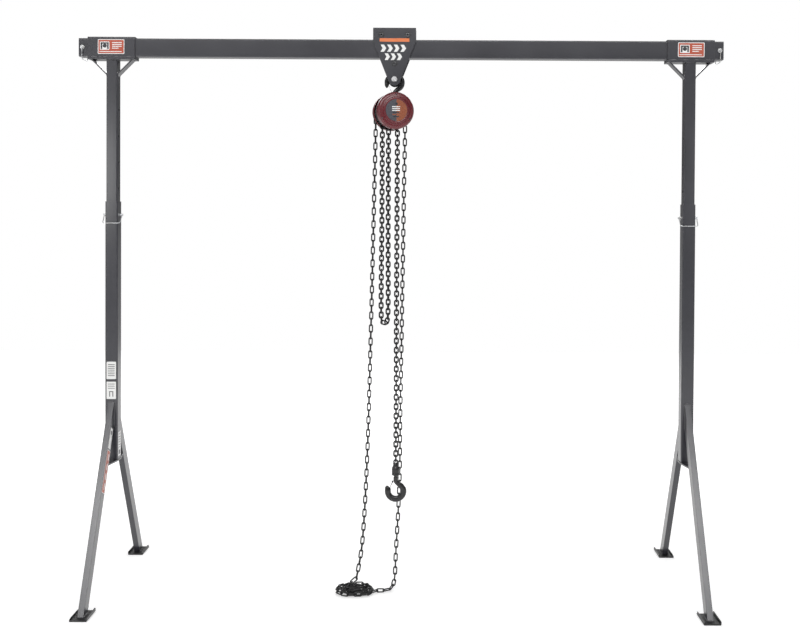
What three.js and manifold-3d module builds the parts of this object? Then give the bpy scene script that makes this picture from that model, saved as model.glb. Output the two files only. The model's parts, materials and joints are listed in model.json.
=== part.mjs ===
// A portable gantry crane: two telescoping A-frame stands, a box beam that slides in their
// sleeves, a plain push trolley, and a hand chain hoist that hangs on the trolley's load pin.
// Millimetres. X runs along the beam, Y is front to back and Z is up, with the floor at z = 0
// and the origin under the middle of the beam.
import * as THREE from "three";
import { mergeVertices } from "three/addons/utils/BufferGeometryUtils.js";
import Module from "manifold-3d";

const wasm = await Module();
wasm.setup();

// ---- driving dimensions ----------------------------------------------------------------

const GAP = 0.3; // clearance between pieces that touch
const BEAM = { length: 2438, width: 50, height: 70, wall: 3, corner: 5, bottom: 2002 };
const BEAM_MIDDLE = BEAM.bottom + BEAM.height / 2;

const POST_X = 1095; // from the crane's middle to each post's axis
const SLEEVE = { length: 178, width: 60, wall: 4, top: 2077, corner: 6, plate: 9.5 };
const SLEEVE_BOTTOM = BEAM.bottom - 0.5 - SLEEVE.plate;
const MAST = { width: 42, wall: 2.5, corner: 4, bottom: 880 };
const MAST_HOLES = { first: 1204, step: 100, count: 7, radius: 5.5 };
const BRACE = { width: 38, thickness: 5, reach: 79 };

const POST = { width: 48, wall: 2.5, corner: 4.5, bottom: 472.3, top: 1455, pin: 1404 };
const LEG = { width: 22, wall: 2, high: 695, low: 600, heel: 326, toe: 374 };
const TIE = { thickness: 6, top: 472 };
const FOOT = { length: 96, width: 62, plate: 5, flange: 13.5, wall: 4, y: 350, bend: 4 };

const PIN = { radius: 5, reach: 37, head: 8.5, headThick: 4, eye: 33, wire: 1.5, bend: 7 };
const POST_BAIL = { reach: 41.2, angle: Math.atan2(27.2, 31) };
const BEAM_BAIL = { reach: 45, inset: 14.5 };

const TROLLEY_X = -25;
const CHEEK = { width: 162, top: 2115, shoulder: 2065, thickness: 6, inner: 28, nose: 23 };
const ROLLER = { x: 50, z: 2088, radius: 15.7, flange: 20, bore: 6.3 };
const BOLT = { radius: 6, head: 10, headThick: 5, nut: 9.5, nutThick: 8, socket: 4 };
const KEEPER = { z: 1981, radius: 10 };
const LOAD_PIN = { z: 1922, radius: 10.5, reach: 38, chamfer: 1 };

const HOOK = { inner: 20, outer: 38.5, neck: 8.5, neckTop: 52, thick: 16, shank: 7 };
const HOOK_SEAT = LOAD_PIN.z + LOAD_PIN.radius + 2 * GAP - HOOK.inner; // top hook's bowl centre
const LATCH = { x: -11.9, z: 36, barrel: 3, tipX: -21.2, tipZ: 13.5, strip: 1.6, width: 13 };

const HOIST = { x: -31, z: 1802, yaw: THREE.MathUtils.degToRad(14) };
const COVER = { radius: 70, wall: 2.5, round: 11, boss: 50, label: 42 };
const GEAR_COVER = { back: -27, front: -60, boss: -65 };
const WHEEL_COVER = { front: 24, back: 60, boss: 65 };
const FRONT_CHEEK = { near: -26, far: -21 };
const REAR_CHEEK = { near: 17, far: 22 };
const CHEEK_PLATE = { radius: 62, lug: 22, lugTop: 68 };
const GEAR = { module: 1.5, pinion: 10, disc: 34, layshaft: 12, load: 32 };
const GEAR_CENTRES = ((GEAR.pinion + GEAR.disc) / 2) * GEAR.module;
const FIRST_STAGE = { near: -55, far: -47.5 };
const SECOND_STAGE = { near: -44.5, far: -36.5 };
const SHAFT_RADIUS = 6;
const AXLE_RADIUS = 5; // of the disc gears
const SHEAVE = { flange: 27, groove: 11, hub: 14, journal: 12, near: -20, far: 16, y: -2 };
const WHEEL = { y: 44, flange: 62, groove: 48, hub: 14, half: 12, channel: 9 };
const RATCHET = { teeth: 16, radius: 28, depth: 4, near: 24, far: 29 };
const PAWL = { x: -26, z: 32, pivot: 4, length: 24 };
const CROSSHEAD = { width: 30, bottom: 45, top: 58 };
const NUT = { radius: 11, thick: 7 };
const ANCHOR = { x: -41, z: -36, size: 16 };
const GUIDE = { width: 62, height: 9, z: -46, hole: 10.7 };

const LOAD_CHAIN = { radius: 10, top: 1770, sides: 8 };
const HAND_CHAIN = { radius: 8.5, top: 1785, sides: 8 };
const HOOK_STRAND_X = 17.5; // in the hoist's own frame
const SLACK_X = -17;
const BLOCK = { radius: 15, neck: 9, bottom: 413, shoulder: 440, top: 460, pin: 450, pinReach: 15 };
const SHANK_SHOWING = 9; // between the hook block and the hook's neck
const BOTTOM_HOOK_Z = BLOCK.bottom - SHANK_SHOWING - HOOK.neckTop;
const SLACK_LOOP_BOTTOM = 1007;

const COLOUR = {
  charcoal: { color: 0x58585d, roughness: 0.42, metalness: 0.35 },
  silver: { color: 0x8d8c8c, roughness: 0.4, metalness: 0.45 },
  black: { color: 0x1d1c20, roughness: 0.5, metalness: 0.3 },
  zinc: { color: 0xc9ccd0, roughness: 0.25, metalness: 1 },
  red: { color: 0x7a1f26, roughness: 0.25, metalness: 0.3 },
  steel: { color: 0x8a8d92, roughness: 0.35, metalness: 1 },
};

// ---- geometry helpers ------------------------------------------------------------------

const X = new THREE.Vector3(1, 0, 0);
const Y = new THREE.Vector3(0, 1, 0);
const Z = new THREE.Vector3(0, 0, 1);
const ALONG_X = new THREE.Matrix4().makeBasis(Y, Z, X); // a (Y, Z) outline, extruded along X
const ALONG_Y = new THREE.Matrix4().makeBasis(X, Z, Y.clone().negate()); // an (X, Z) outline

const FINE = { curveSegments: 10 }; // for plates whose holes fit round bars closely

function toSolid(geometry) {
  const source = geometry.index ? geometry.toNonIndexed() : geometry;
  const bare = new THREE.BufferGeometry();
  bare.setAttribute("position", source.getAttribute("position"));
  const merged = mergeVertices(bare, 1e-4);
  const vertProperties = merged.attributes.position.array;
  const triVerts = new Uint32Array(merged.index.array);
  return new wasm.Manifold(new wasm.Mesh({ numProp: 3, vertProperties, triVerts }));
}

function toGeometry(solid) {
  const { vertProperties, triVerts } = solid.getMesh();
  const geometry = new THREE.BufferGeometry();
  geometry.setAttribute("position", new THREE.BufferAttribute(vertProperties, 3));
  geometry.setIndex(new THREE.BufferAttribute(triVerts, 1));
  geometry.computeVertexNormals();
  return geometry;
}

function cut(geometry, ...tools) {
  return toGeometry(tools.reduce((solid, tool) => solid.subtract(toSolid(tool)), toSolid(geometry)));
}

function join(geometry, ...others) {
  return toGeometry(others.reduce((solid, other) => solid.add(toSolid(other)), toSolid(geometry)));
}

// A box between two corners.
function block(low, high) {
  const size = high.map((value, i) => value - low[i]);
  const centre = high.map((value, i) => (value + low[i]) / 2);
  return new THREE.BoxGeometry(...size).translate(...centre);
}

// A round bar along one axis, from one place to another on it, centred on (a, b) across it.
function bar(axis, radius, from, to, [a, b] = [0, 0], sides = 16) {
  const geometry = new THREE.CylinderGeometry(radius, radius, to - from, sides);
  const middle = (from + to) / 2;
  if (axis === "x") return geometry.rotateZ(-Math.PI / 2).translate(middle, a, b);
  if (axis === "z") return geometry.rotateX(Math.PI / 2).translate(a, b, middle);
  return geometry.translate(a, middle, b);
}

function roundedRect(width, height, radius, Kind = THREE.Shape) {
  const [x, y] = [width / 2 - radius, height / 2 - radius];
  const outline = new Kind();
  outline.absarc(x, y, radius, 0, Math.PI / 2);
  outline.absarc(-x, y, radius, Math.PI / 2, Math.PI);
  outline.absarc(-x, -y, radius, Math.PI, 1.5 * Math.PI);
  outline.absarc(x, -y, radius, 1.5 * Math.PI, 2 * Math.PI);
  return outline;
}

// A hollow section standing on z = 0.
function boxTube({ width, height = width, wall, corner }, length) {
  const outline = roundedRect(width, height, corner);
  const bore = roundedRect(width - 2 * wall, height - 2 * wall, corner - wall / 2, THREE.Path);
  outline.holes.push(bore);
  return new THREE.ExtrudeGeometry(outline, { depth: length, bevelEnabled: false, curveSegments: 2 });
}

function polygon(points) {
  return new THREE.Shape(points.map(([x, y]) => new THREE.Vector2(x, y)));
}

// An outline in the (X, Z) plane, thick in Y between two values.
function slabY(outline, near, far, options = {}) {
  const settings = { depth: far - near, bevelEnabled: false, curveSegments: 6, ...options };
  return new THREE.ExtrudeGeometry(outline, settings).applyMatrix4(ALONG_Y).translate(0, far, 0);
}

// A solid of revolution about the Y axis, from a profile of [radius, y] points.
function turned(profile, segments = 30) {
  const points = profile.map(([radius, y]) => new THREE.Vector2(radius, y));
  return new THREE.LatheGeometry(points, segments);
}

// Points on a quarter round between two profile corners, bulging away from the axis.
function quarterRound([r0, y0], [r1, y1], steps = 3) {
  return Array.from({ length: steps + 1 }, (_, i) => {
    const angle = ((i / steps) * Math.PI) / 2;
    return [r1 + (r0 - r1) * Math.cos(angle), y0 + (y1 - y0) * Math.sin(angle)];
  });
}

// A round wire or a chain's outer shape along a path.
function swept(path, radius, sides, steps) {
  const section = new THREE.Shape();
  for (let i = 0; i < sides; i += 1) {
    const angle = ((i + 0.5) / sides) * 2 * Math.PI;
    const [x, y] = [radius * Math.cos(angle), radius * Math.sin(angle)];
    if (i === 0) section.moveTo(x, y);
    else section.lineTo(x, y);
  }
  return new THREE.ExtrudeGeometry(section, { steps, bevelEnabled: false, extrudePath: path });
}

function named(name, geometry, finish) {
  const mesh = new THREE.Mesh(geometry, new THREE.MeshStandardMaterial(COLOUR[finish]));
  mesh.name = name;
  return mesh;
}

function group(...children) {
  const holder = new THREE.Group();
  holder.add(...children);
  return holder;
}

// ---- beam ------------------------------------------------------------------------------

function beamTube() {
  const section = { width: BEAM.width, height: BEAM.height, wall: BEAM.wall, corner: BEAM.corner };
  const tube = boxTube(section, BEAM.length).applyMatrix4(ALONG_X);
  tube.translate(-BEAM.length / 2, 0, BEAM_MIDDLE);
  const pinX = BEAM.length / 2 - BEAM_BAIL.inset;
  const bore = (x) => bar("y", PIN.radius + 0.5, -BEAM.width, BEAM.width, [x, BEAM_MIDDLE]);
  return named("beam_tube", cut(tube, bore(-pinX), bore(pinX)), "charcoal");
}

// ---- lock pins -------------------------------------------------------------------------

// A shank along X with its head near the +X end.
function lockPin(halfWidth) {
  const shank = bar("x", PIN.radius, -PIN.reach, PIN.reach, [0, 0], 12);
  const headStart = halfWidth + 2 * GAP;
  return join(shank, bar("x", PIN.head, headStart, headStart + PIN.headThick));
}

// The wire bail of a pin along X: it is hooked through both ends of the shank and crosses below.
function bailWire(reach) {
  const start = PIN.radius - PIN.wire;
  const leg = (x, from, to) =>
    new THREE.LineCurve3(new THREE.Vector3(x, 0, -from), new THREE.Vector3(x, 0, -to));
  const turn = (side) => {
    const ends = [
      new THREE.Vector3(side * PIN.eye, 0, PIN.bend - reach),
      new THREE.Vector3(side * (PIN.eye - PIN.bend), 0, -reach),
    ];
    const corner = new THREE.Vector3(side * PIN.eye, 0, -reach);
    const [first, last] = side > 0 ? ends : ends.toReversed();
    return new THREE.QuadraticBezierCurve3(first, corner, last);
  };
  const across = new THREE.LineCurve3(
    new THREE.Vector3(PIN.eye - PIN.bend, 0, -reach),
    new THREE.Vector3(PIN.bend - PIN.eye, 0, -reach),
  );
  const path = new THREE.CurvePath();
  path.add(leg(PIN.eye, start, reach - PIN.bend));
  path.add(turn(1));
  path.add(across);
  path.add(turn(-1));
  path.add(leg(-PIN.eye, reach - PIN.bend, start));
  return swept(path, PIN.wire, 6, 18);
}

function beamPin(side, label) {
  const solid = join(lockPin(BEAM.width / 2), bailWire(BEAM_BAIL.reach));
  const pin = named(`${label}_beam_pin`, solid, "zinc");
  pin.rotation.z = -Math.PI / 2;
  pin.position.set(side * (BEAM.length / 2 - BEAM_BAIL.inset), 0, BEAM_MIDDLE);
  return pin;
}

function postPin(side, label) {
  const solid = join(lockPin(POST.width / 2), bailWire(POST_BAIL.reach));
  const pin = named(`${label}_post_pin`, solid, "zinc");
  pin.rotation.x = -POST_BAIL.angle;
  pin.scale.x = side;
  pin.position.set(side * POST_X, 0, POST.pin);
  return pin;
}

// ---- mast: sleeve, plate, braces and inner tube ----------------------------------------

function sleeveChannel() {
  const [outer, inner] = [SLEEVE.width / 2, SLEEVE.width / 2 - SLEEVE.wall];
  const [bottom, top] = [BEAM.bottom - 0.5 + GAP, SLEEVE.top];
  const outline = new THREE.Shape();
  outline.moveTo(inner, bottom);
  outline.lineTo(outer, bottom);
  outline.absarc(outer - SLEEVE.corner, top - SLEEVE.corner, SLEEVE.corner, 0, Math.PI / 2);
  outline.absarc(SLEEVE.corner - outer, top - SLEEVE.corner, SLEEVE.corner, Math.PI / 2, Math.PI);
  outline.lineTo(-outer, bottom);
  outline.lineTo(-inner, bottom);
  outline.lineTo(-inner, top - SLEEVE.wall);
  outline.lineTo(inner, top - SLEEVE.wall);
  const settings = { depth: SLEEVE.length, bevelEnabled: false, curveSegments: 2 };
  return new THREE.ExtrudeGeometry(outline, settings)
    .applyMatrix4(ALONG_X)
    .translate(-SLEEVE.length / 2, 0, 0);
}

function sleevePlate() {
  const [x, y] = [SLEEVE.length / 2, SLEEVE.width / 2];
  return block([-x, -y, SLEEVE_BOTTOM], [x, y, SLEEVE_BOTTOM + SLEEVE.plate]);
}

function mastTube() {
  const top = SLEEVE_BOTTOM - GAP;
  const tube = boxTube(MAST, top - MAST.bottom).translate(0, 0, MAST.bottom);
  const holes = Array.from({ length: MAST_HOLES.count }, (_, i) => {
    const z = MAST_HOLES.first + i * MAST_HOLES.step;
    return bar("x", MAST_HOLES.radius, -MAST.width, MAST.width, [0, z], 10);
  });
  return cut(tube, ...holes);
}

// A flat bar at 45 degrees from the mast's +X side up to the sleeve plate.
function kneeBrace() {
  const near = MAST.width / 2 + GAP;
  const top = SLEEVE_BOTTOM - GAP;
  const run = BRACE.thickness * Math.SQRT2;
  const outline = polygon([
    [near, top - (BRACE.reach - near)],
    [BRACE.reach, top],
    [BRACE.reach - run, top],
    [near, top - (BRACE.reach - near) + run],
  ]);
  return slabY(outline, -BRACE.width / 2, BRACE.width / 2);
}

function mast(side, label) {
  const outer = named(`${label}_outer_brace`, kneeBrace(), "charcoal");
  const inner = named(`${label}_inner_brace`, kneeBrace(), "charcoal");
  outer.rotation.z = side > 0 ? 0 : Math.PI;
  inner.rotation.z = side > 0 ? Math.PI : 0;
  const holder = group(
    named(`${label}_sleeve_channel`, sleeveChannel(), "charcoal"),
    named(`${label}_sleeve_plate`, sleevePlate(), "charcoal"),
    named(`${label}_mast_tube`, mastTube(), "charcoal"),
    outer,
    inner,
  );
  holder.position.x = side * POST_X;
  return holder;
}

// ---- stand: lower post, legs, tie plate and feet ---------------------------------------

function lowerPost() {
  const tube = boxTube(POST, POST.top - POST.bottom).translate(0, 0, POST.bottom);
  return cut(tube, bar("x", MAST_HOLES.radius, -POST.width, POST.width, [0, POST.pin], 10));
}

// A leg in front of the post: its top is cut to the post's face and its end to the foot plate.
function leg() {
  const face = -POST.width / 2 - GAP;
  const floor = FOOT.plate + GAP;
  const slope = (LEG.toe + face) / (LEG.high - floor);
  const outline = polygon([
    [face, LEG.high],
    [-LEG.toe, floor],
    [-LEG.heel, floor],
    [face, LEG.low],
  ]);
  const wall = LEG.wall * Math.hypot(1, slope); // the wall measured along Y
  const extra = 40;
  const core = polygon([
    [face + wall + slope * extra, LEG.high + extra],
    [-LEG.toe + wall - slope * extra, floor - extra],
    [-LEG.heel - wall - slope * extra, floor - extra],
    [face - wall + slope * extra, LEG.low + extra],
  ]);
  const half = LEG.width / 2;
  const slab = (shape, x) =>
    new THREE.ExtrudeGeometry(shape, { depth: 2 * x, bevelEnabled: false })
      .applyMatrix4(ALONG_X)
      .translate(-x, 0, 0);
  return cut(slab(outline, half), slab(core, half - LEG.wall));
}

// How far the tie plate reaches before it meets the leg's heel side.
function tieReach() {
  const slope = (LEG.heel - POST.width / 2) / (LEG.low - FOOT.plate);
  return POST.width / 2 + (LEG.low - TIE.top) * slope - 2 * GAP;
}

function tiePlate() {
  const [wide, narrow] = [POST.width / 2, LEG.width / 2];
  const reach = tieReach();
  const outline = polygon([
    [wide, -wide],
    [wide, wide],
    [narrow, reach],
    [-narrow, reach],
    [-wide, wide],
    [-wide, -wide],
    [-narrow, -reach],
    [narrow, -reach],
  ]);
  const settings = { depth: TIE.thickness, bevelEnabled: false };
  return new THREE.ExtrudeGeometry(outline, settings).translate(0, 0, TIE.top - TIE.thickness);
}

function foot() {
  const [outer, inner] = [FOOT.width / 2, FOOT.width / 2 - FOOT.wall];
  const outline = new THREE.Shape();
  outline.moveTo(-outer, FOOT.flange);
  outline.absarc(FOOT.bend - outer, FOOT.bend, FOOT.bend, Math.PI, 1.5 * Math.PI);
  outline.absarc(outer - FOOT.bend, FOOT.bend, FOOT.bend, 1.5 * Math.PI, 2 * Math.PI);
  outline.lineTo(outer, FOOT.flange);
  outline.lineTo(inner, FOOT.flange);
  outline.lineTo(inner, FOOT.plate);
  outline.lineTo(-inner, FOOT.plate);
  outline.lineTo(-inner, FOOT.flange);
  return slabY(outline, -FOOT.y - FOOT.length / 2, FOOT.length / 2 - FOOT.y, { curveSegments: 2 });
}

function stand(side, label) {
  const frontLeg = named(`${label}_front_leg`, leg(), "silver");
  const rearLeg = named(`${label}_rear_leg`, leg(), "silver");
  const frontFoot = named(`${label}_front_foot`, foot(), "black");
  const rearFoot = named(`${label}_rear_foot`, foot(), "black");
  rearLeg.rotation.z = Math.PI;
  rearFoot.rotation.z = Math.PI;
  const holder = group(
    named(`${label}_lower_post`, lowerPost(), "charcoal"),
    named(`${label}_tie_plate`, tiePlate(), "charcoal"),
    frontLeg,
    rearLeg,
    frontFoot,
    rearFoot,
  );
  holder.position.x = side * POST_X;
  return holder;
}

// ---- trolley ---------------------------------------------------------------------------

// A cheek plate: square shoulders that taper to a round nose about the load pin.
function cheekOutline() {
  const half = CHEEK.width / 2;
  const drop = CHEEK.shoulder - LOAD_PIN.z;
  const distance = Math.hypot(half, drop);
  const tangent = Math.atan2(drop, half) - Math.acos(CHEEK.nose / distance);
  const outline = new THREE.Shape();
  outline.moveTo(-half, CHEEK.top);
  outline.lineTo(-half, CHEEK.shoulder);
  outline.absarc(0, LOAD_PIN.z, CHEEK.nose, Math.PI - tangent, 2 * Math.PI + tangent);
  outline.lineTo(half, CHEEK.shoulder);
  outline.lineTo(half, CHEEK.top);
  const holes = [
    [-ROLLER.x, ROLLER.z, BOLT.radius],
    [ROLLER.x, ROLLER.z, BOLT.radius],
    [0, KEEPER.z, BOLT.radius],
    [0, LOAD_PIN.z, LOAD_PIN.radius],
  ];
  for (const [x, z, radius] of holes) {
    outline.holes.push(new THREE.Path().absarc(x, z, radius + GAP, 0, 2 * Math.PI));
  }
  return outline;
}

// A bolt through both cheek plates: round socket head in front, hexagon nut behind.
function throughBolt(x, z) {
  const face = CHEEK.inner + CHEEK.thickness + GAP;
  const end = face + BOLT.nutThick + 3;
  const head = bar("y", BOLT.head, -face - BOLT.headThick, -face, [x, z], 20);
  const nut = bar("y", BOLT.nut, face, face + BOLT.nutThick, [x, z], 6);
  const socket = bar("y", BOLT.socket, -face - 2 * BOLT.headThick, -face - 1, [x, z], 6);
  return cut(join(bar("y", BOLT.radius, -face - 1, end, [x, z]), head, nut), socket);
}

function roller() {
  const [half, face] = [CHEEK.inner - GAP, BEAM.width / 2 + 2 * GAP];
  return turned([
    [ROLLER.bore, -half],
    [ROLLER.flange, -half],
    [ROLLER.flange, -face],
    [ROLLER.radius, -face],
    [ROLLER.radius, face],
    [ROLLER.flange, face],
    [ROLLER.flange, half],
    [ROLLER.bore, half],
    [ROLLER.bore, -half],
  ], 20);
}

// The third bolt carries a fat spacer between the plates, just under the beam.
function keeperBolt() {
  const half = CHEEK.inner - GAP;
  const spacer = bar("y", KEEPER.radius, -half, half, [0, KEEPER.z], 20);
  return join(throughBolt(0, KEEPER.z), spacer);
}

function loadPin() {
  const { radius, reach, chamfer } = LOAD_PIN;
  return turned([
    [0, -reach],
    [radius - chamfer, -reach],
    [radius, chamfer - reach],
    [radius, reach - chamfer],
    [radius - chamfer, reach],
    [0, reach],
  ], 28).translate(0, 0, LOAD_PIN.z);
}

function trolley() {
  const [near, far] = [CHEEK.inner, CHEEK.inner + CHEEK.thickness];
  const leftRoller = named("left_roller", roller(), "steel");
  const rightRoller = named("right_roller", roller(), "steel");
  leftRoller.position.set(-ROLLER.x, 0, ROLLER.z);
  rightRoller.position.set(ROLLER.x, 0, ROLLER.z);
  const holder = group(
    named("front_cheek_plate", slabY(cheekOutline(), -far, -near, FINE), "charcoal"),
    named("rear_cheek_plate", slabY(cheekOutline(), near, far, FINE), "charcoal"),
    named("left_roller_bolt", throughBolt(-ROLLER.x, ROLLER.z), "black"),
    named("right_roller_bolt", throughBolt(ROLLER.x, ROLLER.z), "black"),
    named("keeper_bolt", keeperBolt(), "black"),
    named("load_pin", loadPin(), "zinc"),
    leftRoller,
    rightRoller,
  );
  holder.position.x = TROLLEY_X;
  return holder;
}

// ---- hooks -----------------------------------------------------------------------------

// A hook seen from the front: bowl centred on the origin, neck up, throat open to the left.
function hookOutline() {
  const at = (radius, degrees) => {
    const angle = THREE.MathUtils.degToRad(degrees);
    return [radius * Math.cos(angle), radius * Math.sin(angle)];
  };
  const rad = THREE.MathUtils.degToRad;
  const outline = new THREE.Shape();
  outline.moveTo(-HOOK.neck, HOOK.neckTop);
  outline.lineTo(-HOOK.neck, 38);
  outline.quadraticCurveTo(-7, 27, ...at(HOOK.inner, 62));
  outline.absarc(0, 0, HOOK.inner, rad(62), rad(-198), true);
  outline.lineTo(-24.5, 17);
  outline.quadraticCurveTo(-29, 23.5, -34, 17.5);
  outline.quadraticCurveTo(-36.5, 13, ...at(HOOK.outer, 166));
  outline.absarc(0, 0, HOOK.outer, rad(166), rad(375), false);
  outline.quadraticCurveTo(34, 27, 20, 33);
  outline.quadraticCurveTo(10, 37.5, HOOK.neck, 45);
  outline.lineTo(HOOK.neck, HOOK.neckTop);
  return outline;
}

// The hook with its shank standing on the neck, up to the given height over the bowl centre.
function hook(shankTop, ...extras) {
  const bevel = 3;
  const half = HOOK.thick / 2 - bevel;
  const settings = {
    bevelEnabled: true,
    bevelSize: 2,
    bevelOffset: -2,
    bevelThickness: bevel,
    bevelSegments: 1,
    curveSegments: 7,
  };
  const body = slabY(hookOutline(), -half, half, settings);
  return join(body, bar("z", HOOK.shank, HOOK.neckTop - 8, shankTop), ...extras);
}

// The sprung latch: a strip from its barrel beside the neck to the inside of the hook's point.
function latch() {
  const half = LATCH.width / 2;
  const [dx, dz] = [LATCH.tipX - LATCH.x, LATCH.tipZ - LATCH.z];
  const length = Math.hypot(dx, dz);
  const strip = block([0, -half, -LATCH.strip / 2], [length, half, LATCH.strip / 2]);
  strip.rotateY(-Math.atan2(dz, dx)).translate(LATCH.x, 0, LATCH.z);
  return join(bar("y", LATCH.barrel, -half, half, [LATCH.x, LATCH.z], 12), strip);
}

// The top hook hangs bowl up on the load pin, its shank held by a nut under the crosshead.
function topHook() {
  const toHoist = HOOK_SEAT - HOIST.z;
  const nutTop = toHoist - CROSSHEAD.bottom + GAP;
  const nut = bar("z", NUT.radius, nutTop, nutTop + NUT.thick, [0, 0], 6);
  const holder = group(
    named("top_hook", hook(nutTop + NUT.thick + 2, nut), "black"),
    named("top_hook_latch", latch(), "zinc"),
  );
  holder.rotation.x = Math.PI;
  holder.position.set(TROLLEY_X, 0, HOOK_SEAT);
  return holder;
}

// ---- gears -----------------------------------------------------------------------------

// Straight-flanked teeth, thin enough to run with backlash; the first tooth points along +X.
function gearOutline(teeth, phase = 0) {
  const pitch = (2 * Math.PI) / teeth;
  const radius = (teeth * GEAR.module) / 2;
  const [root, tip] = [radius - 1.2 * GEAR.module, radius + 0.85 * GEAR.module];
  const outline = new THREE.Shape();
  for (let i = 0; i < teeth; i += 1) {
    const middle = (i + phase) * pitch;
    const corners = [
      [root, -0.27],
      [tip, -0.1],
      [tip, 0.1],
      [root, 0.27],
    ];
    for (const [r, share] of corners) {
      const angle = middle + share * pitch;
      const [x, y] = [r * Math.cos(angle), r * Math.sin(angle)];
      if (i === 0 && share === -0.27) outline.moveTo(x, y);
      else outline.lineTo(x, y);
    }
  }
  return outline;
}

function gear(teeth, { near, far }, phase) {
  return slabY(gearOutline(teeth, phase), near, far);
}

function driveShaft() {
  const shaft = bar("y", SHAFT_RADIUS, FIRST_STAGE.far - 1, WHEEL.y + WHEEL.half + 2 * GAP);
  return join(shaft, gear(GEAR.pinion, FIRST_STAGE, 0));
}

function discGear() {
  const axle = bar("y", AXLE_RADIUS, FIRST_STAGE.near - 1.5, FRONT_CHEEK.far);
  return join(axle, gear(GEAR.disc, FIRST_STAGE, 0.5), gear(GEAR.layshaft, SECOND_STAGE, 0));
}

function loadGear() {
  const bore = bar("y", SHEAVE.journal + GAP, -100, 100, [0, 0], 24);
  return cut(gear(GEAR.load, SECOND_STAGE, 0.5), bore);
}

// ---- hoist -----------------------------------------------------------------------------

// One of the two pressed covers: a round-edged cup with a raised middle, open at its rim.
function coverProfile(rim, shoulder, boss) {
  const { radius, wall, round } = COVER;
  const out = Math.sign(boss - rim);
  return [
    [0, boss],
    [COVER.label, boss],
    [COVER.label, boss + out],
    [COVER.boss - 2, boss + out],
    [COVER.boss, boss - out],
    [COVER.boss + 1, shoulder],
    ...quarterRound([radius, shoulder - out * round], [radius - round, shoulder]).reverse(),
    [radius, rim],
    [radius - wall, rim],
    ...quarterRound([radius - wall, shoulder - out * round], [radius - round, shoulder - out * wall]),
    [0, shoulder - out * wall],
  ];
}

function gearCover() {
  const profile = coverProfile(GEAR_COVER.back, GEAR_COVER.front, GEAR_COVER.boss);
  return turned(profile);
}

// The hand wheel's cover has a slot on each side of its underside for the hand chain.
function wheelCover() {
  const profile = coverProfile(WHEEL_COVER.front, WHEEL_COVER.back, WHEEL_COVER.boss).reverse();
  const slot = (side) => {
    const [x0, x1] = side > 0 ? [46.5, 80] : [-80, -46.5];
    return block([x0, WHEEL.y - 11, -62], [x1, WHEEL.y + 11, -8]);
  };
  return cut(turned(profile), slot(1), slot(-1));
}

// A side plate: a disc with a lug on top for the crosshead.
function sidePlateOutline(holes) {
  const { radius, lug, lugTop } = CHEEK_PLATE;
  const start = Math.acos(lug / radius);
  const outline = new THREE.Shape();
  outline.moveTo(lug - 6, lugTop);
  outline.lineTo(6 - lug, lugTop);
  outline.lineTo(-lug, lugTop - 6);
  outline.absarc(0, 0, radius, Math.PI - start, 2 * Math.PI + start);
  outline.lineTo(lug, lugTop - 6);
  for (const [x, z, hole] of holes) {
    outline.holes.push(new THREE.Path().absarc(x, z, hole, 0, 2 * Math.PI));
  }
  return outline;
}

function loadSheave() {
  const { flange, groove, hub, journal, near, far, y } = SHEAVE;
  const bore = SHAFT_RADIUS + GAP;
  return turned([
    [bore, SECOND_STAGE.near],
    [journal, SECOND_STAGE.near],
    [journal, SECOND_STAGE.far + GAP],
    [hub, SECOND_STAGE.far + GAP],
    [hub, near + GAP],
    [flange, near + GAP],
    [flange, y - 14],
    [groove, y - 6],
    [groove, y + 6],
    [flange, y + 14],
    [flange, far - GAP],
    [hub, far - GAP],
    [hub, REAR_CHEEK.far],
    [bore, REAR_CHEEK.far],
    [bore, SECOND_STAGE.near],
  ], 20);
}

function handWheel() {
  const { y, flange, groove, hub, half, channel } = WHEEL;
  const bore = SHAFT_RADIUS + GAP;
  return turned([
    [bore, y - half],
    [hub, y - half],
    [hub, y - 4],
    [groove - 8, y - 4],
    [groove - 8, y - half],
    [flange, y - half],
    [flange, y - channel],
    [groove, y - channel],
    [groove, y + channel],
    [flange, y + channel],
    [flange, y + half],
    [groove - 8, y + half],
    [groove - 8, y + 4],
    [hub, y + 4],
    [hub, y + half],
    [bore, y + half],
    [bore, y - half],
  ], 24);
}

function ratchetDisc() {
  const outline = new THREE.Shape();
  for (let i = 0; i < RATCHET.teeth; i += 1) {
    const angle = (i / RATCHET.teeth) * 2 * Math.PI;
    const point = (radius) => [radius * Math.cos(angle), radius * Math.sin(angle)];
    if (i === 0) outline.moveTo(...point(RATCHET.radius - RATCHET.depth));
    else outline.lineTo(...point(RATCHET.radius - RATCHET.depth));
    outline.lineTo(...point(RATCHET.radius));
  }
  const disc = slabY(outline, RATCHET.near, RATCHET.far);
  return cut(disc, bar("y", SHAFT_RADIUS + GAP, 0, 50, [0, 0]));
}

// The pawl hangs its nose just over the ratchet's teeth.
function pawl() {
  const outline = polygon([
    [-4, -3],
    [4, -4],
    [14, -6],
    [PAWL.length, -1],
    [PAWL.length - 2, 3],
    [4, 5],
    [-4, 4],
  ]);
  const body = slabY(outline, RATCHET.near, RATCHET.far);
  return join(body, bar("y", PAWL.pivot, RATCHET.near, RATCHET.far, [0, 0], 12));
}

function crosshead(centreX, centreY) {
  const { width, bottom, top } = CROSSHEAD;
  const [near, far] = [FRONT_CHEEK.far + GAP, REAR_CHEEK.near - GAP];
  const body = block([centreX - width / 2, near, bottom], [centreX + width / 2, far, top]);
  return cut(body, bar("z", HOOK.shank + GAP, bottom - 5, top + 5, [centreX, centreY]));
}

function chainAnchor() {
  const { x, z, size } = ANCHOR;
  const [near, far] = [FRONT_CHEEK.far + GAP, REAR_CHEEK.near - GAP];
  return block([x - size / 2, near, z - size / 2], [x + size / 2, far, z + size / 2]);
}

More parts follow.
